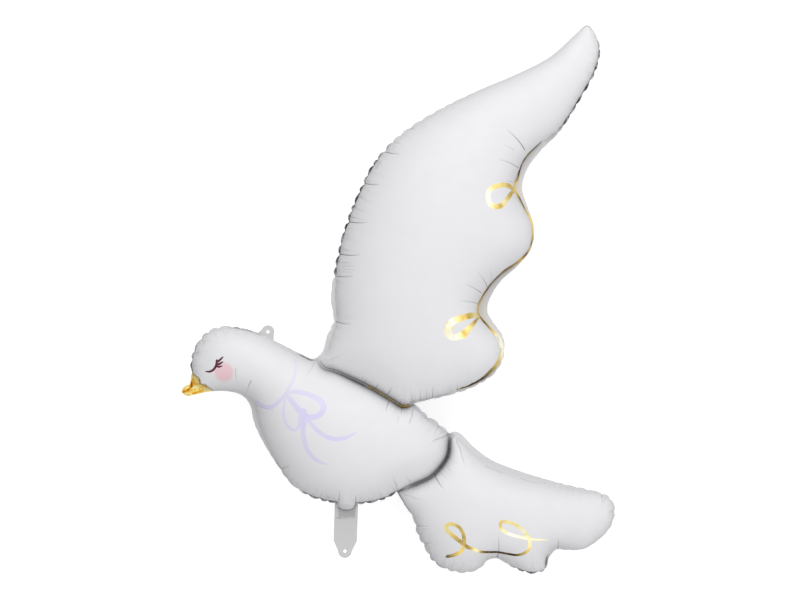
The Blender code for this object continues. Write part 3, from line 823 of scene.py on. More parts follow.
def along_seams(pattern, places):
    """How far along the nearest seam each point lies, and how strongly the film gathers there."""
    gaps, spots = pattern.border.nearest(places)
    along = spots * Seam.SPACING
    gather = np.where(inside(places, pattern.outline), pattern.border.dense_values[spots], 0.0)
    start = len(pattern.border.dense_line) * Seam.SPACING
    for weld in pattern.welds:
        weld_gaps, spots = weld.nearest(places)
        nearer = weld_gaps < gaps
        along = np.where(nearer, start + spots * Seam.SPACING, along)
        on_weld = WELD_GATHER + (1.0 - WELD_GATHER) * weld.dense_values[spots]
        gather = np.where(nearer, on_weld, gather)
        gaps = np.minimum(gaps, weld_gaps)
        start += len(weld.dense_line) * Seam.SPACING
    return along, gather


def on_dashes(weld, spots):
    """Which spots on a weld lie on the stretch that shows dashed gold."""
    start, end = pixels(DASHED_WELD)
    line = weld.dense_line[spots]
    return ((line > (start[0], end[1])) & (line < (end[0], start[1]))).all(axis=1)


def painted_border_reflection(places):
    """How dark the painted reflection on the border is round each spot."""
    dark = np.zeros(len(places))
    for x, y, radius, share in DARK_BORDER:
        gaps = np.linalg.norm(places - pixels((x, y)), axis=1)
        dark = np.maximum(dark, share * settle(gaps, REFLECTION_REACH * radius * pixel_size()) ** 0.5)
    return dark


def tab_darkness(places, room, dark, on_film):
    """The darkness with the tabs' own shade, the line round the filling neck, and the valve."""
    dark = np.where(on_film, dark, np.maximum(dark, TAB_SHADE))
    steps = (2.0 * BORDER_ROW, BORDER_ROW, 0.0, ROWS[1])
    line = np.interp(room, steps, (TAB_SHADE, NECK_LINE, NECK_EDGE, TAB_SHADE))
    dark = np.where(~on_film & (room > steps[0]), line, dark)
    low, high = pixels(VALVE)
    on_valve = ((places > low) & (places < high)).all(axis=1) & (room < 0.0)
    return np.where(on_valve, np.maximum(dark, VALVE_SHADE), dark)


def darkness(pattern, places, room, names):
    """Painted shade at creases, welds and the beak's edge, painted dark reflection on the border, and tab
    grey.
    """
    _, dark = crease_drop(places)
    on_film = inside(places, pattern.outline)
    on_border = (room < 0.5 * BORDER_ROW) & on_film
    # Painted dark reflection on the border
    dark = np.maximum(dark, np.where(on_border, painted_border_reflection(places), 0.0))
    edge_gaps, _ = pattern.beak_edge.nearest(places)
    # Painted shade along the beak's edge
    dark = np.maximum(dark, BEAK_EDGE_SHADE * np.exp(-(edge_gaps / BEAK_EDGE_SHADE_WIDTH) ** 2))
    dark = tab_darkness(places, room, dark, on_film)
    # Painted shade and painted dark reflection on each weld, and painted shade in the valley beside it; depth
    # here is the valley shade's strength
    reach, depth, side_shade = (np.array([by_side[name] for name in names])
                            for by_side in (VALLEY_REACH, VALLEY_SHADE, WELD_SIDE_SHADE))
    for weld, in_middle in zip(pattern.welds, WELD_MIDDLES):
        gaps, spots = weld.nearest(places)
        half = weld.dense_widths[spots]
        line = np.interp(gaps / half, (0.0, 0.5), (0.0, 1.0))
        on_weld = in_middle + line * (side_shade - in_middle)
        on_weld = np.where(on_dashes(weld, spots), DASH_SHADE, on_weld)
        valley = depth * np.exp(-np.maximum(gaps - half, 0.0) / reach)
        weld_shade = np.where(gaps < VALLEY_FROM * half, on_weld, valley)
        weld_shade *= weld.dense_values[spots]
        dark = np.maximum(dark, np.where(on_film, weld_shade, 0.0))
    return dark


def gilt_light_and_paint_tone(places, strokes):
    """The gilt's painted light, or the paint's strength, from the nearest painted line at each place."""
    tones, nearest = np.full(len(places), GILT_TONE), np.full(len(places), TONE_REACH)
    for stroke in strokes:
        gaps, spots = stroke.nearest(places)
        closer = gaps < nearest
        tones[closer] = stroke.dense_values[spots[closer]]
        nearest = np.minimum(nearest, gaps)
    return tones


def film_tone(pattern, places, room, painted):
    """How bright the gilt's painted light is and how strong the paint is at each place, from none to one."""
    tone = gilt_light_and_paint_tone(places, painted["gold"] + painted.get("lavender", []))
    on_beak = inside(places, pattern.beak)
    # The beak's painted highlight grows where its film rises and at its rim
    tone[on_beak] = BEAK_TONE + TONE_PER_RISE * beak_rise(places[on_beak])
    tone[on_beak] += BEAK_RIM_TONE * (room[on_beak] < SEAM_ROOM)
    tone = np.clip(tone, 0.0, 1.0)
    gaps, _ = pattern.welds[0].nearest(places)
    # The gilt on the wing's weld gets a darker painted tone
    tone[gaps < bpy.context.scene.dove_sizes.weld] = WELD_TONE
    return tone


def film_heights(pattern, places, triangles):
    """The film's half thickness and its middle plane's height at each place."""
    sizes = bpy.context.scene.dove_sizes
    room = room_inside(pattern, places)
    rise = np.sqrt(stretched(places, triangles, room > SEAM_ROOM))
    names = chamber_of(pattern, places)
    half = np.full(len(places), 0.5 * sizes.film_edge)
    level = np.empty(len(places))
    depths = {"wing": sizes.wing_depth, "tail": sizes.tail_depth, "body": sizes.body_depth}
    for name, depth in depths.items():
        chamber = names == name
        half[chamber] += 0.5 * (depth - sizes.film_edge) * rise[chamber] / rise[chamber].max()
        level[chamber] = 0.5 * depth - sizes.rest_flat
    for weld, depth in zip(pattern.welds, (sizes.wing_depth, sizes.tail_depth)):
        shared = 0.25 * (depth + sizes.body_depth) - sizes.rest_flat
        gaps, _ = weld.nearest(places)
        level += settle(gaps, sizes.level_blend) * (shared - level)
    on_beak = inside(places, pattern.beak)
    gaps, _ = pattern.beak_edge.nearest(places)
    half -= np.where(on_beak, BEAK_FLATNESS * (1.0 - settle(gaps, BEAK_ROUNDING)) * half, 0.0)
    drop, _ = crease_drop(places)
    drop -= np.where(on_beak, beak_rise(places), 0.0)
    drop *= np.clip(room / FULL_FROM, 0.0, 1.0)
    return np.maximum(half - drop, 0.5 * sizes.film_edge), level, room, names


def stroke_outline(stroke, step):
    """A painted line as its middle with half widths and strengths, and its closed edge."""
    table = np.array(stroke, dtype=float)
    columns = np.column_stack((pixels(table), 0.5 * pixel_size() * table[:, 2], table[:, 3]))
    middle = evenly(smooth_line(columns), step)
    side = middle[:, 2:3] * inward(middle)
    edge = np.vstack((middle[:, :2] + side, (middle[:, :2] - side)[::-1]))
    return Seam(middle[:, :2], middle[:, 2], middle[:, 3]), np.vstack((edge, edge[:1]))


# The prints, in the photograph's pixels: across, down, how wide the line is there, and how strong its
# colour; for the gilt this is painted light, from a brown painted shade at none to a nearly white
# painted highlight at one
GOLD_STROKES = (
    ((541, 141.5, 0.8, 0.05), (534, 148, 1.3, 0.02), (527, 155, 1.5, 0.05), (521, 165, 1.5, 0.05),
     (517.5, 178, 1.6, 0.1), (515, 182, 2.8, 0.4), (514, 189, 3, 0.5), (517.5, 194.5, 2, 0.3),
     (520.5, 200, 1.5, 0.1), (525, 209, 1.2, 0.25), (530, 218, 1.5, 0.5), (532.3, 226, 2.6, 0.6),
     (532.5, 235, 2.4, 0.45), (531, 243, 1.7, 0.2), (529, 248, 1.6, 0.45), (525.5, 254, 2.2, 0.1),
     (520.5, 259, 2.8, 0.4), (514, 264, 2.2, 0.2), (504, 270.5, 2.2, 0.1), (492, 282, 2, 0.08),
     (484, 293, 2, 0.12), (479, 302, 2.2, 0.25), (477.3, 309, 2.4, 0.35), (478.5, 315, 2.6, 0.35),
     (482, 319, 2, 0.15), (488, 326, 2, 0.2), (492.5, 331, 2.8, 0.5), (496.5, 335.5, 4, 0.9),
     (500, 341, 4.2, 0.95), (501, 348, 4.6, 0.95), (500.6, 354, 4.2, 0.85), (498.5, 359.5, 3.8, 0.6),
     (495.5, 365, 3.6, 0.4), (490, 371, 3.6, 0.15), (484, 376.5, 3, 0.05), (478, 380.5, 2.4, 0),
     (470, 384.5, 1.8, 0.02), (462, 387.5, 1.2, 0.1), (456, 389, 0.7, 0.2)),
    ((513.5, 190.5, 2.6, 0.5), (509, 186.5, 4.4, 0.35), (504, 185.2, 4.6, 0.6), (498, 186, 4.8, 0.5),
     (492, 188, 5, 0.6), (488, 192, 5, 0.95), (487, 198, 5, 1), (489, 204, 5.2, 0.95),
     (494.5, 207, 5, 0.48), (500, 206, 5.2, 0.38), (504, 202, 4.4, 0.75), (508, 197.5, 4.6, 0.4),
     (510.5, 193.5, 4, 0.35), (513.5, 190.5, 2.6, 0.5)),
    ((479, 316.5, 1.6, 0.7), (475, 315, 4.4, 0.75), (470, 315, 6, 0.36), (464, 316.5, 6, 0.38),
     (457.5, 318.5, 6.4, 0.6), (452, 321, 7.4, 0.95), (448.5, 325.5, 8, 0.95), (447.5, 331, 7.6, 0.85),
     (450, 335.5, 7.4, 0.95), (455, 336.5, 6.4, 1), (460, 335, 7, 0.75), (463.5, 333, 7.6, 0.36),
     (467, 329, 6, 0.55), (471, 325, 5, 0.55), (475, 320.5, 3, 0.3), (479, 316.5, 1.6, 0.35)),
    ((447, 555.5, 3.2, 0.1), (452, 554.5, 3.4, 0.25), (458, 552, 4.1, 0.42), (462, 548.5, 3.6, 0.4),
     (464, 543, 3.4, 0.3), (463.7, 537, 3.8, 0.27), (462, 530.5, 3.4, 0.3), (458.5, 525.7, 3.4, 0.35),
     (452.5, 522.7, 3.4, 0.45), (446.7, 523.7, 4.1, 0.55), (446, 528, 4.1, 0.62), (450.5, 532.5, 4.1, 0.5),
     (456, 537, 4.1, 0.3), (461, 541, 4.1, 0.24), (466, 545, 4, 0.16), (472, 547.5, 3.1, 0.35),
     (476.5, 549.3, 3, 0.85), (481, 550.8, 2.6, 0.15), (490, 551.2, 2.4, 0.03), (498, 551.3, 2.2, 0),
     (508, 553, 2.3, 0.02), (516, 554, 2.4, 0.03), (523, 552.5, 3, 0.2), (528, 548.5, 3.1, 0.45),
     (529.5, 543, 3.2, 0.68), (528.8, 538, 3.2, 0.7), (526, 533.5, 3.1, 0.6), (522, 528.5, 3.4, 0.8),
     (515.5, 523.5, 3.4, 0.6), (508, 520.7, 3.4, 0.65), (501.5, 520, 3.4, 0.5), (499.6, 523.5, 3.1, 0.4),
     (501, 527.7, 3.6, 0.65), (505.5, 531, 3.6, 0.9), (512, 533.7, 3.4, 1), (520, 535.7, 3, 0.9),
     (527, 537.2, 2.6, 0.9), (535, 538.3, 2, 0.8), (547, 538.8, 0.9, 0.75)),
)
LAVENDER_STROKES = (
    ((294.5, 358, 1.6, 0.2), (296.5, 365, 3.2, 0.3), (294, 378, 3.2, 0.45), (289.5, 387, 3, 0.6),
     (286, 393, 3, 0.7)),
    ((256, 400, 2.2, 0.7), (263, 404.5, 3.6, 0.9), (271, 406, 4.2, 0.9), (278, 402, 3.6, 0.8),
     (286, 393, 3, 0.7)),
    ((287, 392, 3, 0.6), (296, 390.5, 4.4, 0.7), (308, 393, 5, 0.7), (318, 397.5, 5.4, 0.7),
     (323.5, 403, 6, 0.75), (323.5, 409, 6, 0.85), (319, 414, 6, 0.95), (311, 416, 5.6, 1),
     (304, 413, 6, 1), (298, 407, 5.6, 0.95), (292, 399.5, 4.8, 0.8), (286, 393, 3, 0.7)),
    ((286, 394, 2.4, 0.6), (284.5, 405, 2.8, 0.6), (284.5, 415, 3, 0.6), (287, 423, 3, 0.6),
     (291.5, 427.5, 3, 0.65), (296.5, 428.5, 2.8, 0.65), (299.5, 424, 3, 0.7), (300.5, 414, 3.4, 0.8)),
    ((304, 410, 6, 1), (304.5, 416, 9, 1), (304, 422, 6.6, 0.95), (303.5, 430, 4.8, 0.85),
     (305.5, 442, 4.6, 0.75), (308.5, 449, 4.2, 0.75), (314, 456, 3.6, 0.75), (321, 460.5, 3, 0.8),
     (328, 462.5, 1.2, 0.6)),
    ((308, 417, 3, 0.8), (311, 421, 3.4, 0.8), (317, 428, 4.2, 0.85), (325, 434, 4.4, 0.85),
     (333, 437, 4.5, 0.9), (341, 437, 4.1, 0.9), (349, 435, 3.2, 0.8), (356, 431, 1.4, 0.7)),
)
INK_STROKES = (
    ((206.7, 370.6, 1.3, 1), (209.2, 371, 1.9, 1), (212.2, 370.2, 2.3, 1), (215, 367.8, 2.4, 1),
     (216.9, 364.2, 2.4, 1), (217.3, 359.4, 1.8, 1)),
    ((217.1, 361.2, 2.1, 1), (219.8, 359.8, 2.3, 1), (223.4, 356.4, 1.4, 1)),
    ((217.1, 363.6, 2.1, 1), (220, 363.1, 2.3, 1), (223.2, 361.2, 1.4, 1)),
    ((216.9, 365.3, 2.0, 1), (219.3, 366, 2.1, 1), (221.9, 365.4, 1.4, 1)),
)
PRINTS = (("gold", GOLD_STROKES), ("lavender", LAVENDER_STROKES), ("ink", INK_STROKES))
BACK_PRINTS = (("gold", GOLD_STROKES[:1]), ("ink", INK_STROKES))
PRINT_STEP = 0.0018
INK_STEP = 0.0009


def printed_lines(prints):
    """The painted lines by colour, and all their edges."""
    painted, edges = {}, []
    for colour, strokes in prints:
        step = INK_STEP if colour == "ink" else PRINT_STEP
        drawn = [stroke_outline(stroke, step) for stroke in strokes]
        painted[colour] = [line for line, _ in drawn]
        edges.extend(edge for _, edge in drawn)
    return painted, edges


SLOTS = ("pearl", "gold", "lavender", "ink", "bare", "beak")
STROKE_MARGIN = 0.01
EDGE_LINE_REACH = 0.0045
EDGE_LINE_ROOM = 1.3 * ROWS[1]


def colour_faces(pattern, places, triangles, room, painted):
    """The material number of each face."""
    centres = places[triangles].mean(axis=1)
    deepest = room[triangles].max(axis=1)
    numbers = np.where(deepest <= SEAM_ROOM, SLOTS.index("bare"), 0)
    for colour, strokes in painted.items():
        for stroke in strokes:
            middle = stroke.line.mean(axis=0)
            reach = np.linalg.norm(stroke.line - middle, axis=1).max() + STROKE_MARGIN
            chosen = np.flatnonzero(np.linalg.norm(centres - middle, axis=1) < reach)
            gaps, spots = stroke.nearest(centres[chosen])
            numbers[chosen[gaps < stroke.dense_widths[spots]]] = SLOTS.index(colour)
    gaps, spots = painted["gold"][0].nearest(centres)
    beside = (gaps < EDGE_LINE_REACH) & (spots > 0) & (spots < spots.max())
    beside &= (deepest > SEAM_ROOM) & (deepest < EDGE_LINE_ROOM)
    numbers[beside] = SLOTS.index("gold")
    gaps, spots = pattern.welds[0].nearest(centres)
    on_weld = (gaps < 0.5 * bpy.context.scene.dove_sizes.weld) & (numbers == SLOTS.index("bare"))
    dash = (spots * Seam.SPACING) % DASH_SPACING < DASH_SHARE * DASH_SPACING
    numbers[on_weld & on_dashes(pattern.welds[0], spots) & dash] = SLOTS.index("gold")
    half_moon = np.linalg.norm(centres - pixels(HALF_MOON), axis=1) < HALF_MOON_RADIUS
    numbers[half_moon & (numbers == SLOTS.index("bare"))] = SLOTS.index("gold")
    numbers[inside(centres, pattern.beak)] = SLOTS.index("beak")
    return numbers


def dressed_sheet(pattern, rim, holes, fixed, prints, step):
    """One side of the film: its flat sheet, and all that is known at its points and faces."""
    painted, print_edges = printed_lines(prints)
    lines = fixed + print_edges
    grid = open_grid(pattern, rim, [*holes, *lines], step)
    places, triangles, edge = film_sheet(rim, holes, lines, grid)
    half, level, room, names = film_heights(pattern, places, triangles)
    along, gather = along_seams(pattern, places)
    return SimpleNamespace(
        places=places, triangles=triangles, edge=edge, half=half, level=level,
        room=room, along=along, gather=gather,
        tone=film_tone(pattern, places, room, painted),
        # The painted shade and painted dark reflection, with the tabs' own grey
        dark=darkness(pattern, places, room, names),
        colours=colour_faces(pattern, places, triangles, room, painted),
    )


def film_mesh(name):
    """The whole envelope: a printed sheet and a back sheet, joined along their rim."""
    sizes = bpy.context.scene.dove_sizes
    pattern = cut_pattern(sizes.front_facet)
    rim, holes = add_tabs(pattern, sizes.front_facet)
    fixed = [weld.line[1:-1] for weld in pattern.welds]
    fixed += [pattern.beak_edge.line, *seam_rows(pattern, sizes.front_facet), *crease_lines(rim)]
    front = dressed_sheet(pattern, rim, holes, fixed, PRINTS, sizes.front_facet)
    back = dressed_sheet(pattern, rim, holes, fixed, BACK_PRINTS, sizes.back_facet)
    middle = 0.5 * (rim.min(axis=0) + rim.max(axis=0))
    upper = np.column_stack((front.places - middle, front.level + front.half))
    lower = np.column_stack((back.places - middle, np.maximum(back.level - back.half, 0.0)))
    count = len(upper)
    walls = []
    start = 0
    for loop in (rim, *holes):
        numbers = np.arange(start, start + len(loop))
        following = np.roll(numbers, -1)
        walls.append(np.column_stack((front.edge[numbers], front.edge[following],
                                      back.edge[following] + count, back.edge[numbers] + count)))
        start += len(loop)
    walls = np.vstack(walls)
    faces = [*front.triangles.tolist(), *(back.triangles[:, ::-1] + count).tolist(), *walls.tolist()]
    mesh = bpy.data.meshes.new(name)
    mesh.from_pydata(np.vstack((upper, lower)).tolist(), [], faces)
    numbers = np.concatenate((front.colours, back.colours, np.full(len(walls), SLOTS.index("bare"))))
    mesh.polygons.foreach_set("material_index", numbers.astype(np.int32))
    for label in ("room", "along", "gather", "tone", "dark"):
        values = np.concatenate((getattr(front, label), getattr(back, label))).astype(np.float32)
        mesh.attributes.new(label, "FLOAT", "POINT").data.foreach_set("value", values)
    mesh.update()
    return mesh, middle


def add(tree, kind, inputs=(), **settings):
    """A new node: the inputs are values or other nodes' sockets."""
    node = tree.nodes.new("ShaderNode" + kind)
    for name, value in settings.items():
        setattr(node, name, value)
    for name, value in dict(inputs).items():
        if isinstance(value, bpy.types.NodeSocket):
            tree.links.new(value, node.inputs[name])
        else:
            node.inputs[name].default_value = value
    return node


def times(tree, one, other):
    """The product of two values."""
    return add(tree, "Math", {0: one, 1: other}, operation="MULTIPLY").outputs[0]


def plus(tree, one, other):
    """The sum of two values."""
    return add(tree, "Math", {0: one, 1: other}, operation="ADD").outputs[0]


def ranged(tree, value, low, high, new_low, new_high):
    """A value moved smoothly from one range to another."""
    inputs = {"Value": value, "From Min": low, "From Max": high, "To Min": new_low, "To Max": new_high}
    return add(tree, "MapRange", inputs, interpolation_type="SMOOTHSTEP").outputs["Result"]


def noise(tree, vector, scale, detail=2.0):
    """Soft noise about none, from minus a half to a half."""
    made = add(tree, "TexNoise", {"Vector": vector, "Scale": scale, "Detail": detail})
    return plus(tree, made.outputs["Fac"], -0.5)


def new_group(name, inputs, outputs):
    """An empty node group with its sockets, and its input and output nodes."""
    group = bpy.data.node_groups.new(name, "ShaderNodeTree")
    for label, value in inputs:
        socket = group.interface.new_socket(label, in_out="INPUT", socket_type="NodeSocketFloat")
        socket.default_value = value
    for label in outputs:
        group.interface.new_socket(label, in_out="OUTPUT", socket_type="NodeSocketFloat")
    return group, group.nodes.new("NodeGroupInput").outputs, group.nodes.new("NodeGroupOutput").inputs


# How closely the relief's noises and the mottling lie, in cycles for each metre, and how far in from
# a seam the wrinkles reach
FINE_WRINKLES = 330.0
COARSE_WRINKLES = 95.0
HAIRLINES = 420.0
BROAD_DENTS = 16.0
MOTTLES = 45.0
WRINKLE_SLANT = 0.15
FINE_REACH = (0.0, 0.014)
COARSE_REACH = (0.004, 0.034)
COARSE_STRENGTH = 2.4
# Painted shade in the fine hairline wrinkles near the seams: the noise's range that shows it, and how dark it
# gets
HAIRLINE_RANGE = (0.06, 0.2)
HAIRLINE_SHADE = 0.3


def film_relief():
    """Shared by every film: fine wrinkles that run in from the seams, broad dents, mottling, and a mask of
    painted shade.
    """
    tree, given, out = new_group("film_relief", (("Wrinkles", 0.0), ("Dents", 0.0)),
                                 ("Height", "Mottle", "Fold"))
    room, along, gather, dark = (add(tree, "Attribute", attribute_name=name).outputs["Fac"]
                                 for name in ("room", "along", "gather", "dark"))
    place = add(tree, "TexCoord").outputs["Object"]
    streaks = add(tree, "CombineXYZ", {"X": along, "Y": times(tree, room, WRINKLE_SLANT)}).outputs["Vector"]
    near = ranged(tree, room, *FINE_REACH, 1.0, 0.0)
    fine = times(tree, noise(tree, streaks, FINE_WRINKLES), near)
    inner = ranged(tree, room, *COARSE_REACH, COARSE_STRENGTH, 0.0)
    coarse = times(tree, noise(tree, streaks, COARSE_WRINKLES), inner)
    wrinkles = times(tree, times(tree, plus(tree, fine, coarse), gather), given["Wrinkles"])
    dents = times(tree, noise(tree, place, BROAD_DENTS, 1.0), given["Dents"])
    tree.links.new(plus(tree, wrinkles, dents), out["Height"])
    mottle = add(tree, "TexNoise", {"Vector": place, "Scale": MOTTLES, "Detail": 4.0})
    tree.links.new(mottle.outputs["Fac"], out["Mottle"])
    # Painted shade in the fine hairline wrinkles, where the film gathers near a seam
    wrinkle_shade = ranged(tree, noise(tree, streaks, HAIRLINES), *HAIRLINE_RANGE, 0.0, HAIRLINE_SHADE)
    wrinkle_shade = times(tree, times(tree, wrinkle_shade, gather), near)
    # The mask: the dark attribute's painted shade and tab grey, or the fine wrinkles' painted shade where
    # darker
    painted_shade_and_tab_grey = add(tree, "Math", {0: dark, 1: wrinkle_shade}, operation="MAXIMUM")
    tree.links.new(painted_shade_and_tab_grey.outputs[0], out["Fold"])
    return tree


def foil_break():
    """Shared by the gold prints and the beak: small flat facets of foil, each with its own painted highlight
    or shade.
    """
    tree, given, out = new_group("foil_break", (("Scale", 100.0), ("Depth", 0.0), ("Spread", 0.0)),
                                 ("Height", "Tone"))
    place = add(tree, "TexCoord").outputs["Object"]
    cells = add(tree, "TexVoronoi", {"Vector": place, "Scale": given["Scale"], "Randomness": 1.0})
    tree.links.new(times(tree, cells.outputs["Distance"], given["Depth"]), out["Height"])
    own = add(tree, "Attribute", attribute_name="tone").outputs["Fac"]
    spread = times(tree, noise(tree, place, given["Scale"], 3.0), given["Spread"])
    tree.links.new(plus(tree, own, spread), out["Tone"])
    return tree


def principled(name, colour, roughness, metallic):
    """A new material with a Principled shader."""
    material = bpy.data.materials.new(name)
    material.use_nodes = True
    shader = material.node_tree.nodes["Principled BSDF"]
    shader.inputs["Base Color"].default_value = (*colour, 1.0)
    shader.inputs["Roughness"].default_value = roughness
    shader.inputs["Metallic"].default_value = metallic
    return material


def shaded(tree, colour, mask, shade):
    """A colour that the mask draws towards a darker or other shade."""
    mixed = add(tree, "Mix", {"Factor": mask}, data_type="RGBA")
    for socket, value in (("A_Color", colour), ("B_Color", shade)):
        target = next(one for one in mixed.inputs if one.identifier == socket)
        if isinstance(value, bpy.types.NodeSocket):
            tree.links.new(value, target)
        else:
            target.default_value = (*value, 1.0)
    return next(one for one in mixed.outputs if one.identifier == "Result_Color")


# Where the gilt's ramp reaches its painted shade, its own gold, its painted lit tone and its painted
# highlight
GILT_PLACES = (0.0, 0.45, 0.7, 1.0)
GILT_ROUGHNESS = 0.3
GILT_SPECULAR = 0.2
GILT_RELIEF = {"Wrinkles": 0.0006, "Dents": 0.0016}
FILM_RELIEF = {"Wrinkles": 0.0009, "Dents": 0.0012}
MOTTLE_RANGE = (0.3, 0.7)
MOTTLE_GLOSS = 0.05
MOTTLE_SHADE = 0.955
# The near black of painted shade and painted dark reflection, which also greys the tabs
PAINTED_SHADE_AND_TAB_GREY = (0.022, 0.022, 0.026)


def film_material(name, group, colour, roughness, metallic, tinted=None):
    """A film with the shared relief, slightly mottled in colour and gloss, and drawn to near black where the
    mask paints shade.
    """
    material = principled(name, colour, roughness, metallic)
    tree = material.node_tree
    shader = tree.nodes["Principled BSDF"].inputs
    relief = add(tree, "Group", FILM_RELIEF, node_tree=group).outputs
    deeper = [MOTTLE_SHADE * part for part in colour]
    base = shaded(tree, colour, relief["Mottle"], deeper)
    if tinted:
        tone = add(tree, "Attribute", attribute_name="tone").outputs["Fac"]
        base = shaded(tree, base, tone, tinted)
    tree.links.new(shaded(tree, base, relief["Fold"], PAINTED_SHADE_AND_TAB_GREY), shader["Base Color"])
    gloss = (roughness - MOTTLE_GLOSS, roughness + MOTTLE_GLOSS)
    tree.links.new(ranged(tree, relief["Mottle"], *MOTTLE_RANGE, *gloss), shader["Roughness"])
    bump = add(tree, "Bump", {"Height": relief["Height"], "Distance": 1.0, "Strength": 1.0})
    tree.links.new(bump.outputs["Normal"], shader["Normal"])
    return material


def gold_material(name, relief_group, break_group, tones, metal, scale, depth, spread):
    """Gilt film with small bumped facets, painted in tones from a brown painted shade to a nearly white
    painted highlight.
    """
    material = principled(name, tones[1], GILT_ROUGHNESS, metal)
    tree = material.node_tree
    shader = tree.nodes["Principled BSDF"].inputs
    shader["Specular IOR Level"].default_value = GILT_SPECULAR
    relief = add(tree, "Group", GILT_RELIEF, node_tree=relief_group).outputs
    facets = add(tree, "Group", {"Scale": scale, "Depth": depth, "Spread": spread},
                 node_tree=break_group).outputs
    ramp = add(tree, "ValToRGB", {"Fac": facets["Tone"]})
    stops = ramp.color_ramp.elements
    for place in GILT_PLACES[1:-1]:
        stops.new(place)
    for stop, place, tone in zip(stops, GILT_PLACES, tones):
        stop.position, stop.color = place, (*tone, 1.0)
    # Painted shade draws the gilt towards its darkest tone
    tree.links.new(shaded(tree, ramp.outputs["Color"], relief["Fold"], tones[0]), shader["Base Color"])
    height = plus(tree, relief["Height"], facets["Height"])
    bump = add(tree, "Bump", {"Height": height, "Distance": 1.0, "Strength": 1.0})
    tree.links.new(bump.outputs["Normal"], shader["Normal"])
    return material


CHEEK = ((224.7, 371.4), (235.7, 371.4))
CHEEK_SOFTNESS = 0.0065
CHEEK_BLEED = 0.2
CHEEK_STRENGTH = 0.85
CHEEK_LEVEL = 0.062
CHEEK_FADE = 0.001


def blush_over(material, blush, middle):
    """Print a soft round cheek over a film's own colour."""
    tree = material.node_tree
    own = tree.nodes["Principled BSDF"].inputs["Base Color"]
    centre, edge = pixels(CHEEK)
    radius = edge[0] - centre[0]
    place = add(tree, "TexCoord").outputs["Object"]
    flat = add(tree, "VectorMath", {0: place, 1: (1.0, 1.0, 0.0)}, operation="MULTIPLY").outputs[0]
    spot = (*(centre - middle), 0.0)
    gap = add(tree, "VectorMath", {0: flat, 1: spot}, operation="DISTANCE").outputs["Value"]
    up = add(tree, "SeparateXYZ", {"Vector": place}).outputs["Z"]
    outer = radius + CHEEK_BLEED * CHEEK_SOFTNESS
    mask = ranged(tree, gap, radius - CHEEK_SOFTNESS, outer, CHEEK_STRENGTH, 0.0)
    in_front = ranged(tree, up, CHEEK_LEVEL, CHEEK_LEVEL + CHEEK_FADE, 0.0, 1.0)
    mask = times(tree, mask, in_front)
    tree.links.new(shaded(tree, own.links[0].from_socket, mask, blush), own)


# Each film's roughness and metallic, and each gilding's facets: how metallic, how close, how deep
# and how far apart in tone they are
FILM_GLOSS = (0.5, 0.0)
INK_GLOSS = (0.45, 0.0)
BARE_GLOSS = (0.40, 0.2)
PRINT_FACETS = (0.4, 130.0, 0.0004, 0.40)
BEAK_FACETS = (0.45, 230.0, 0.0009, 0.7)
SHARP_FROM = math.radians(60.0)


class DOVE_OT_make_envelope(bpy.types.Operator):
    """Make the printed film envelope with its welds, puckers, creases and tabs"""
    bl_idname = "dove.make_envelope"
    bl_label = "Make Envelope"

    def execute(self, context):
        colours = context.scene.dove_colours
        mesh, middle = film_mesh("foil_film")
        relief, facets = film_relief(), foil_break()
        gilt = (colours.gold_painted_shade, colours.gold, colours.gold_painted_lit, colours.gold_painted_highlight)
        gilt_beak = (colours.gold_painted_shade, colours.beak, colours.beak_painted_lit, colours.beak_painted_highlight)
        materials = {
            "pearl": film_material("pearl_film", relief, colours.pearl, *FILM_GLOSS),
            "gold": gold_material("gold_print", relief, facets, gilt, *PRINT_FACETS),
            "lavender": film_material("lavender_print", relief, colours.pearl, *FILM_GLOSS, colours.lavender),
            "ink": film_material("eye_print", relief, colours.ink, *INK_GLOSS),
            "bare": film_material("bare_film", relief, colours.bare_film, *BARE_GLOSS),
            "beak": gold_material("beak_film", relief, facets, gilt_beak, *BEAK_FACETS),
        }
        blush_over(materials["pearl"], colours.blush, middle)
        for slot in SLOTS:
            mesh.materials.append(materials[slot])
        mesh.shade_smooth()
        mesh.set_sharp_from_angle(angle=SHARP_FROM)
        film = bpy.data.objects.new("foil_film", mesh)
        context.scene.collection.objects.link(film)
        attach(film, "root")
        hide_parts(NODE)
        return {"FINISHED"}


FLOOR_SIZE = 30.0
FLOOR_DROP = 0.0005
FLOOR_GREY = (0.40, 0.40, 0.40)
ROOM_BELOW = (0.28, 0.28, 0.29, 1.0)
ROOM_ABOVE = (1.0, 1.0, 1.0, 1.0)
# Each light's place and size, and the slider for its power
LIGHTS = (
    ("key_light", (0.0, 2.4, 2.3), 3.0, "key_energy"),
    ("side_light", (2.6, -0.2, 1.4), 2.0, "side_energy"),
    ("fill_light", (0.7, -2.6, 1.3), 3.0, "fill_energy"),
)
SENSOR = 36.0
CAMERA_AWAY = 7.0
CAMERA_SIGHT = 100.0
# The camera stands this far to the side of the photograph's middle, and this height on the balloon
# shows at the photograph's scale
CAMERA_ASIDE = -0.0008
CAMERA_LEVEL = 0.065


def pale_floor(look):
    """A white floor that throws less light on the balloon than the camera sees."""
    ground = principled("pale_floor", FLOOR_GREY, 0.9, 0.0)
    tree = ground.node_tree
    shader = tree.nodes["Principled BSDF"].inputs
    seen = add(tree, "LightPath").outputs["Is Camera Ray"]
    shader["Emission Color"].default_value = (1.0, 1.0, 1.0, 1.0)
    tree.links.new(times(tree, seen, look.floor_glow), shader["Emission Strength"])
    return ground


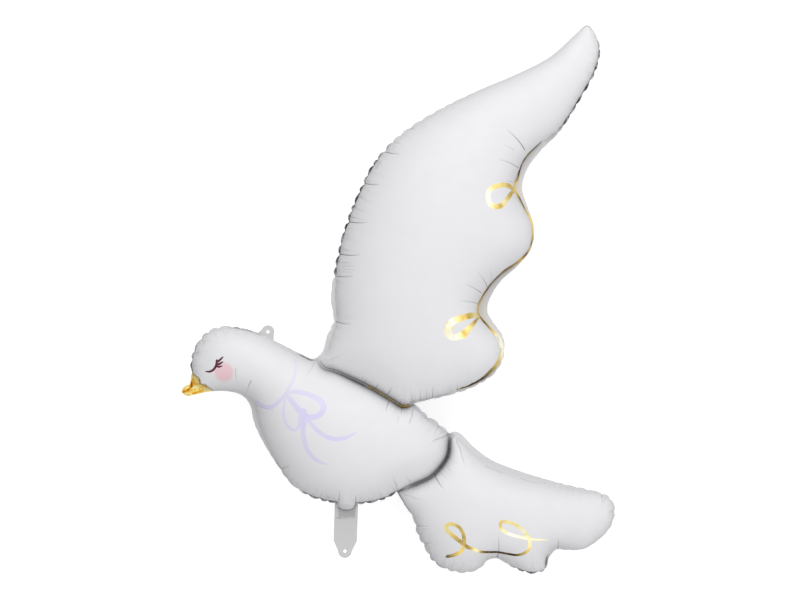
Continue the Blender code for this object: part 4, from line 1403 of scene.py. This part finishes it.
def studio_world(look):
    """A room that is bright overhead and dark at the height of the floor."""
    world = bpy.data.worlds.new("studio")
    world.use_nodes = True
    nodes, links = world.node_tree.nodes, world.node_tree.links
    way = nodes.new("ShaderNodeTexCoord")
    split = nodes.new("ShaderNodeSeparateXYZ")
    ramp = nodes.new("ShaderNodeValToRGB")
    stops = ramp.color_ramp.elements
    stops[0].position, stops[0].color = 0.0, ROOM_BELOW
    stops[1].position, stops[1].color = 0.5, ROOM_ABOVE
    links.new(way.outputs["Generated"], split.inputs["Vector"])
    links.new(split.outputs["Z"], ramp.inputs["Fac"])
    links.new(ramp.outputs["Color"], nodes["Background"].inputs["Color"])
    nodes["Background"].inputs["Strength"].default_value = look.sky
    return world


class DOVE_OT_make_stage(bpy.types.Operator):
    """Make the floor, the lights and the camera"""
    bl_idname = "dove.make_stage"
    bl_label = "Make Stage"

    def execute(self, context):
        scene = context.scene
        look = scene.dove_stage
        bpy.ops.mesh.primitive_plane_add(size=FLOOR_SIZE, location=(0.0, 0.0, -FLOOR_DROP))
        floor = context.object
        floor.name = "floor"
        floor.data.materials.append(pale_floor(look))
        floor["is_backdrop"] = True
        scene.view_settings.view_transform = "Standard"
        scene.world = studio_world(look)
        for name, place, size, slider in LIGHTS:
            light = bpy.data.lights.new(name, "AREA")
            light.energy = getattr(look, slider)
            light.size = size
            lamp = bpy.data.objects.new(name, light)
            lamp.location = place
            lamp.rotation_euler = Vector(place).to_track_quat("Z", "Y").to_euler()
            scene.collection.objects.link(lamp)
        camera = bpy.data.cameras.new("camera")
        camera.sensor_width = SENSOR
        camera.lens = SENSOR * CAMERA_AWAY / (PHOTO_WIDTH * pixel_size())
        camera.clip_end = CAMERA_SIGHT
        eye = bpy.data.objects.new("camera", camera)
        aside = (PHOTO_CENTRE[0] - BALLOON_CENTRE[0]) * pixel_size() + CAMERA_ASIDE
        eye.location = (aside, 0.0, CAMERA_LEVEL + CAMERA_AWAY)
        scene.collection.objects.link(eye)
        scene.camera = eye
        return {"FINISHED"}


class DOVE_PT_panel(bpy.types.Panel):
    """The balloon's sizes, colours and steps"""
    bl_idname = "DOVE_PT_panel"
    bl_label = "Dove Balloon"
    bl_space_type = "VIEW_3D"
    bl_region_type = "UI"
    bl_category = "Dove Balloon"

    def draw(self, context):
        scene = context.scene
        for group in (scene.dove_sizes, scene.dove_colours, scene.dove_stage):
            for name in group.__annotations__:
                self.layout.prop(group, name)
        for step in (DOVE_OT_make_envelope, DOVE_OT_make_stage):
            self.layout.operator(step.bl_idname)


CLASSES = (DoveSizes, DoveColours, DoveStage, DOVE_OT_make_envelope, DOVE_OT_make_stage, DOVE_PT_panel)


def register():
    for cls in CLASSES:
        bpy.utils.register_class(cls)
    bpy.types.Scene.dove_sizes = PointerProperty(type=DoveSizes)
    bpy.types.Scene.dove_colours = PointerProperty(type=DoveColours)
    bpy.types.Scene.dove_stage = PointerProperty(type=DoveStage)


def unregister():
    del bpy.types.Scene.dove_stage
    del bpy.types.Scene.dove_colours
    del bpy.types.Scene.dove_sizes
    for cls in reversed(CLASSES):
        bpy.utils.unregister_class(cls)


def main():
    register()
    bpy.ops.dove.make_envelope()
    bpy.ops.dove.make_stage()
    boxes = {"cad": CAD_BOX, "visual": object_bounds()}
    {name: [list(corner) for corner in box] for name, box in boxes.items()}


if __name__ == "__main__":
    main()
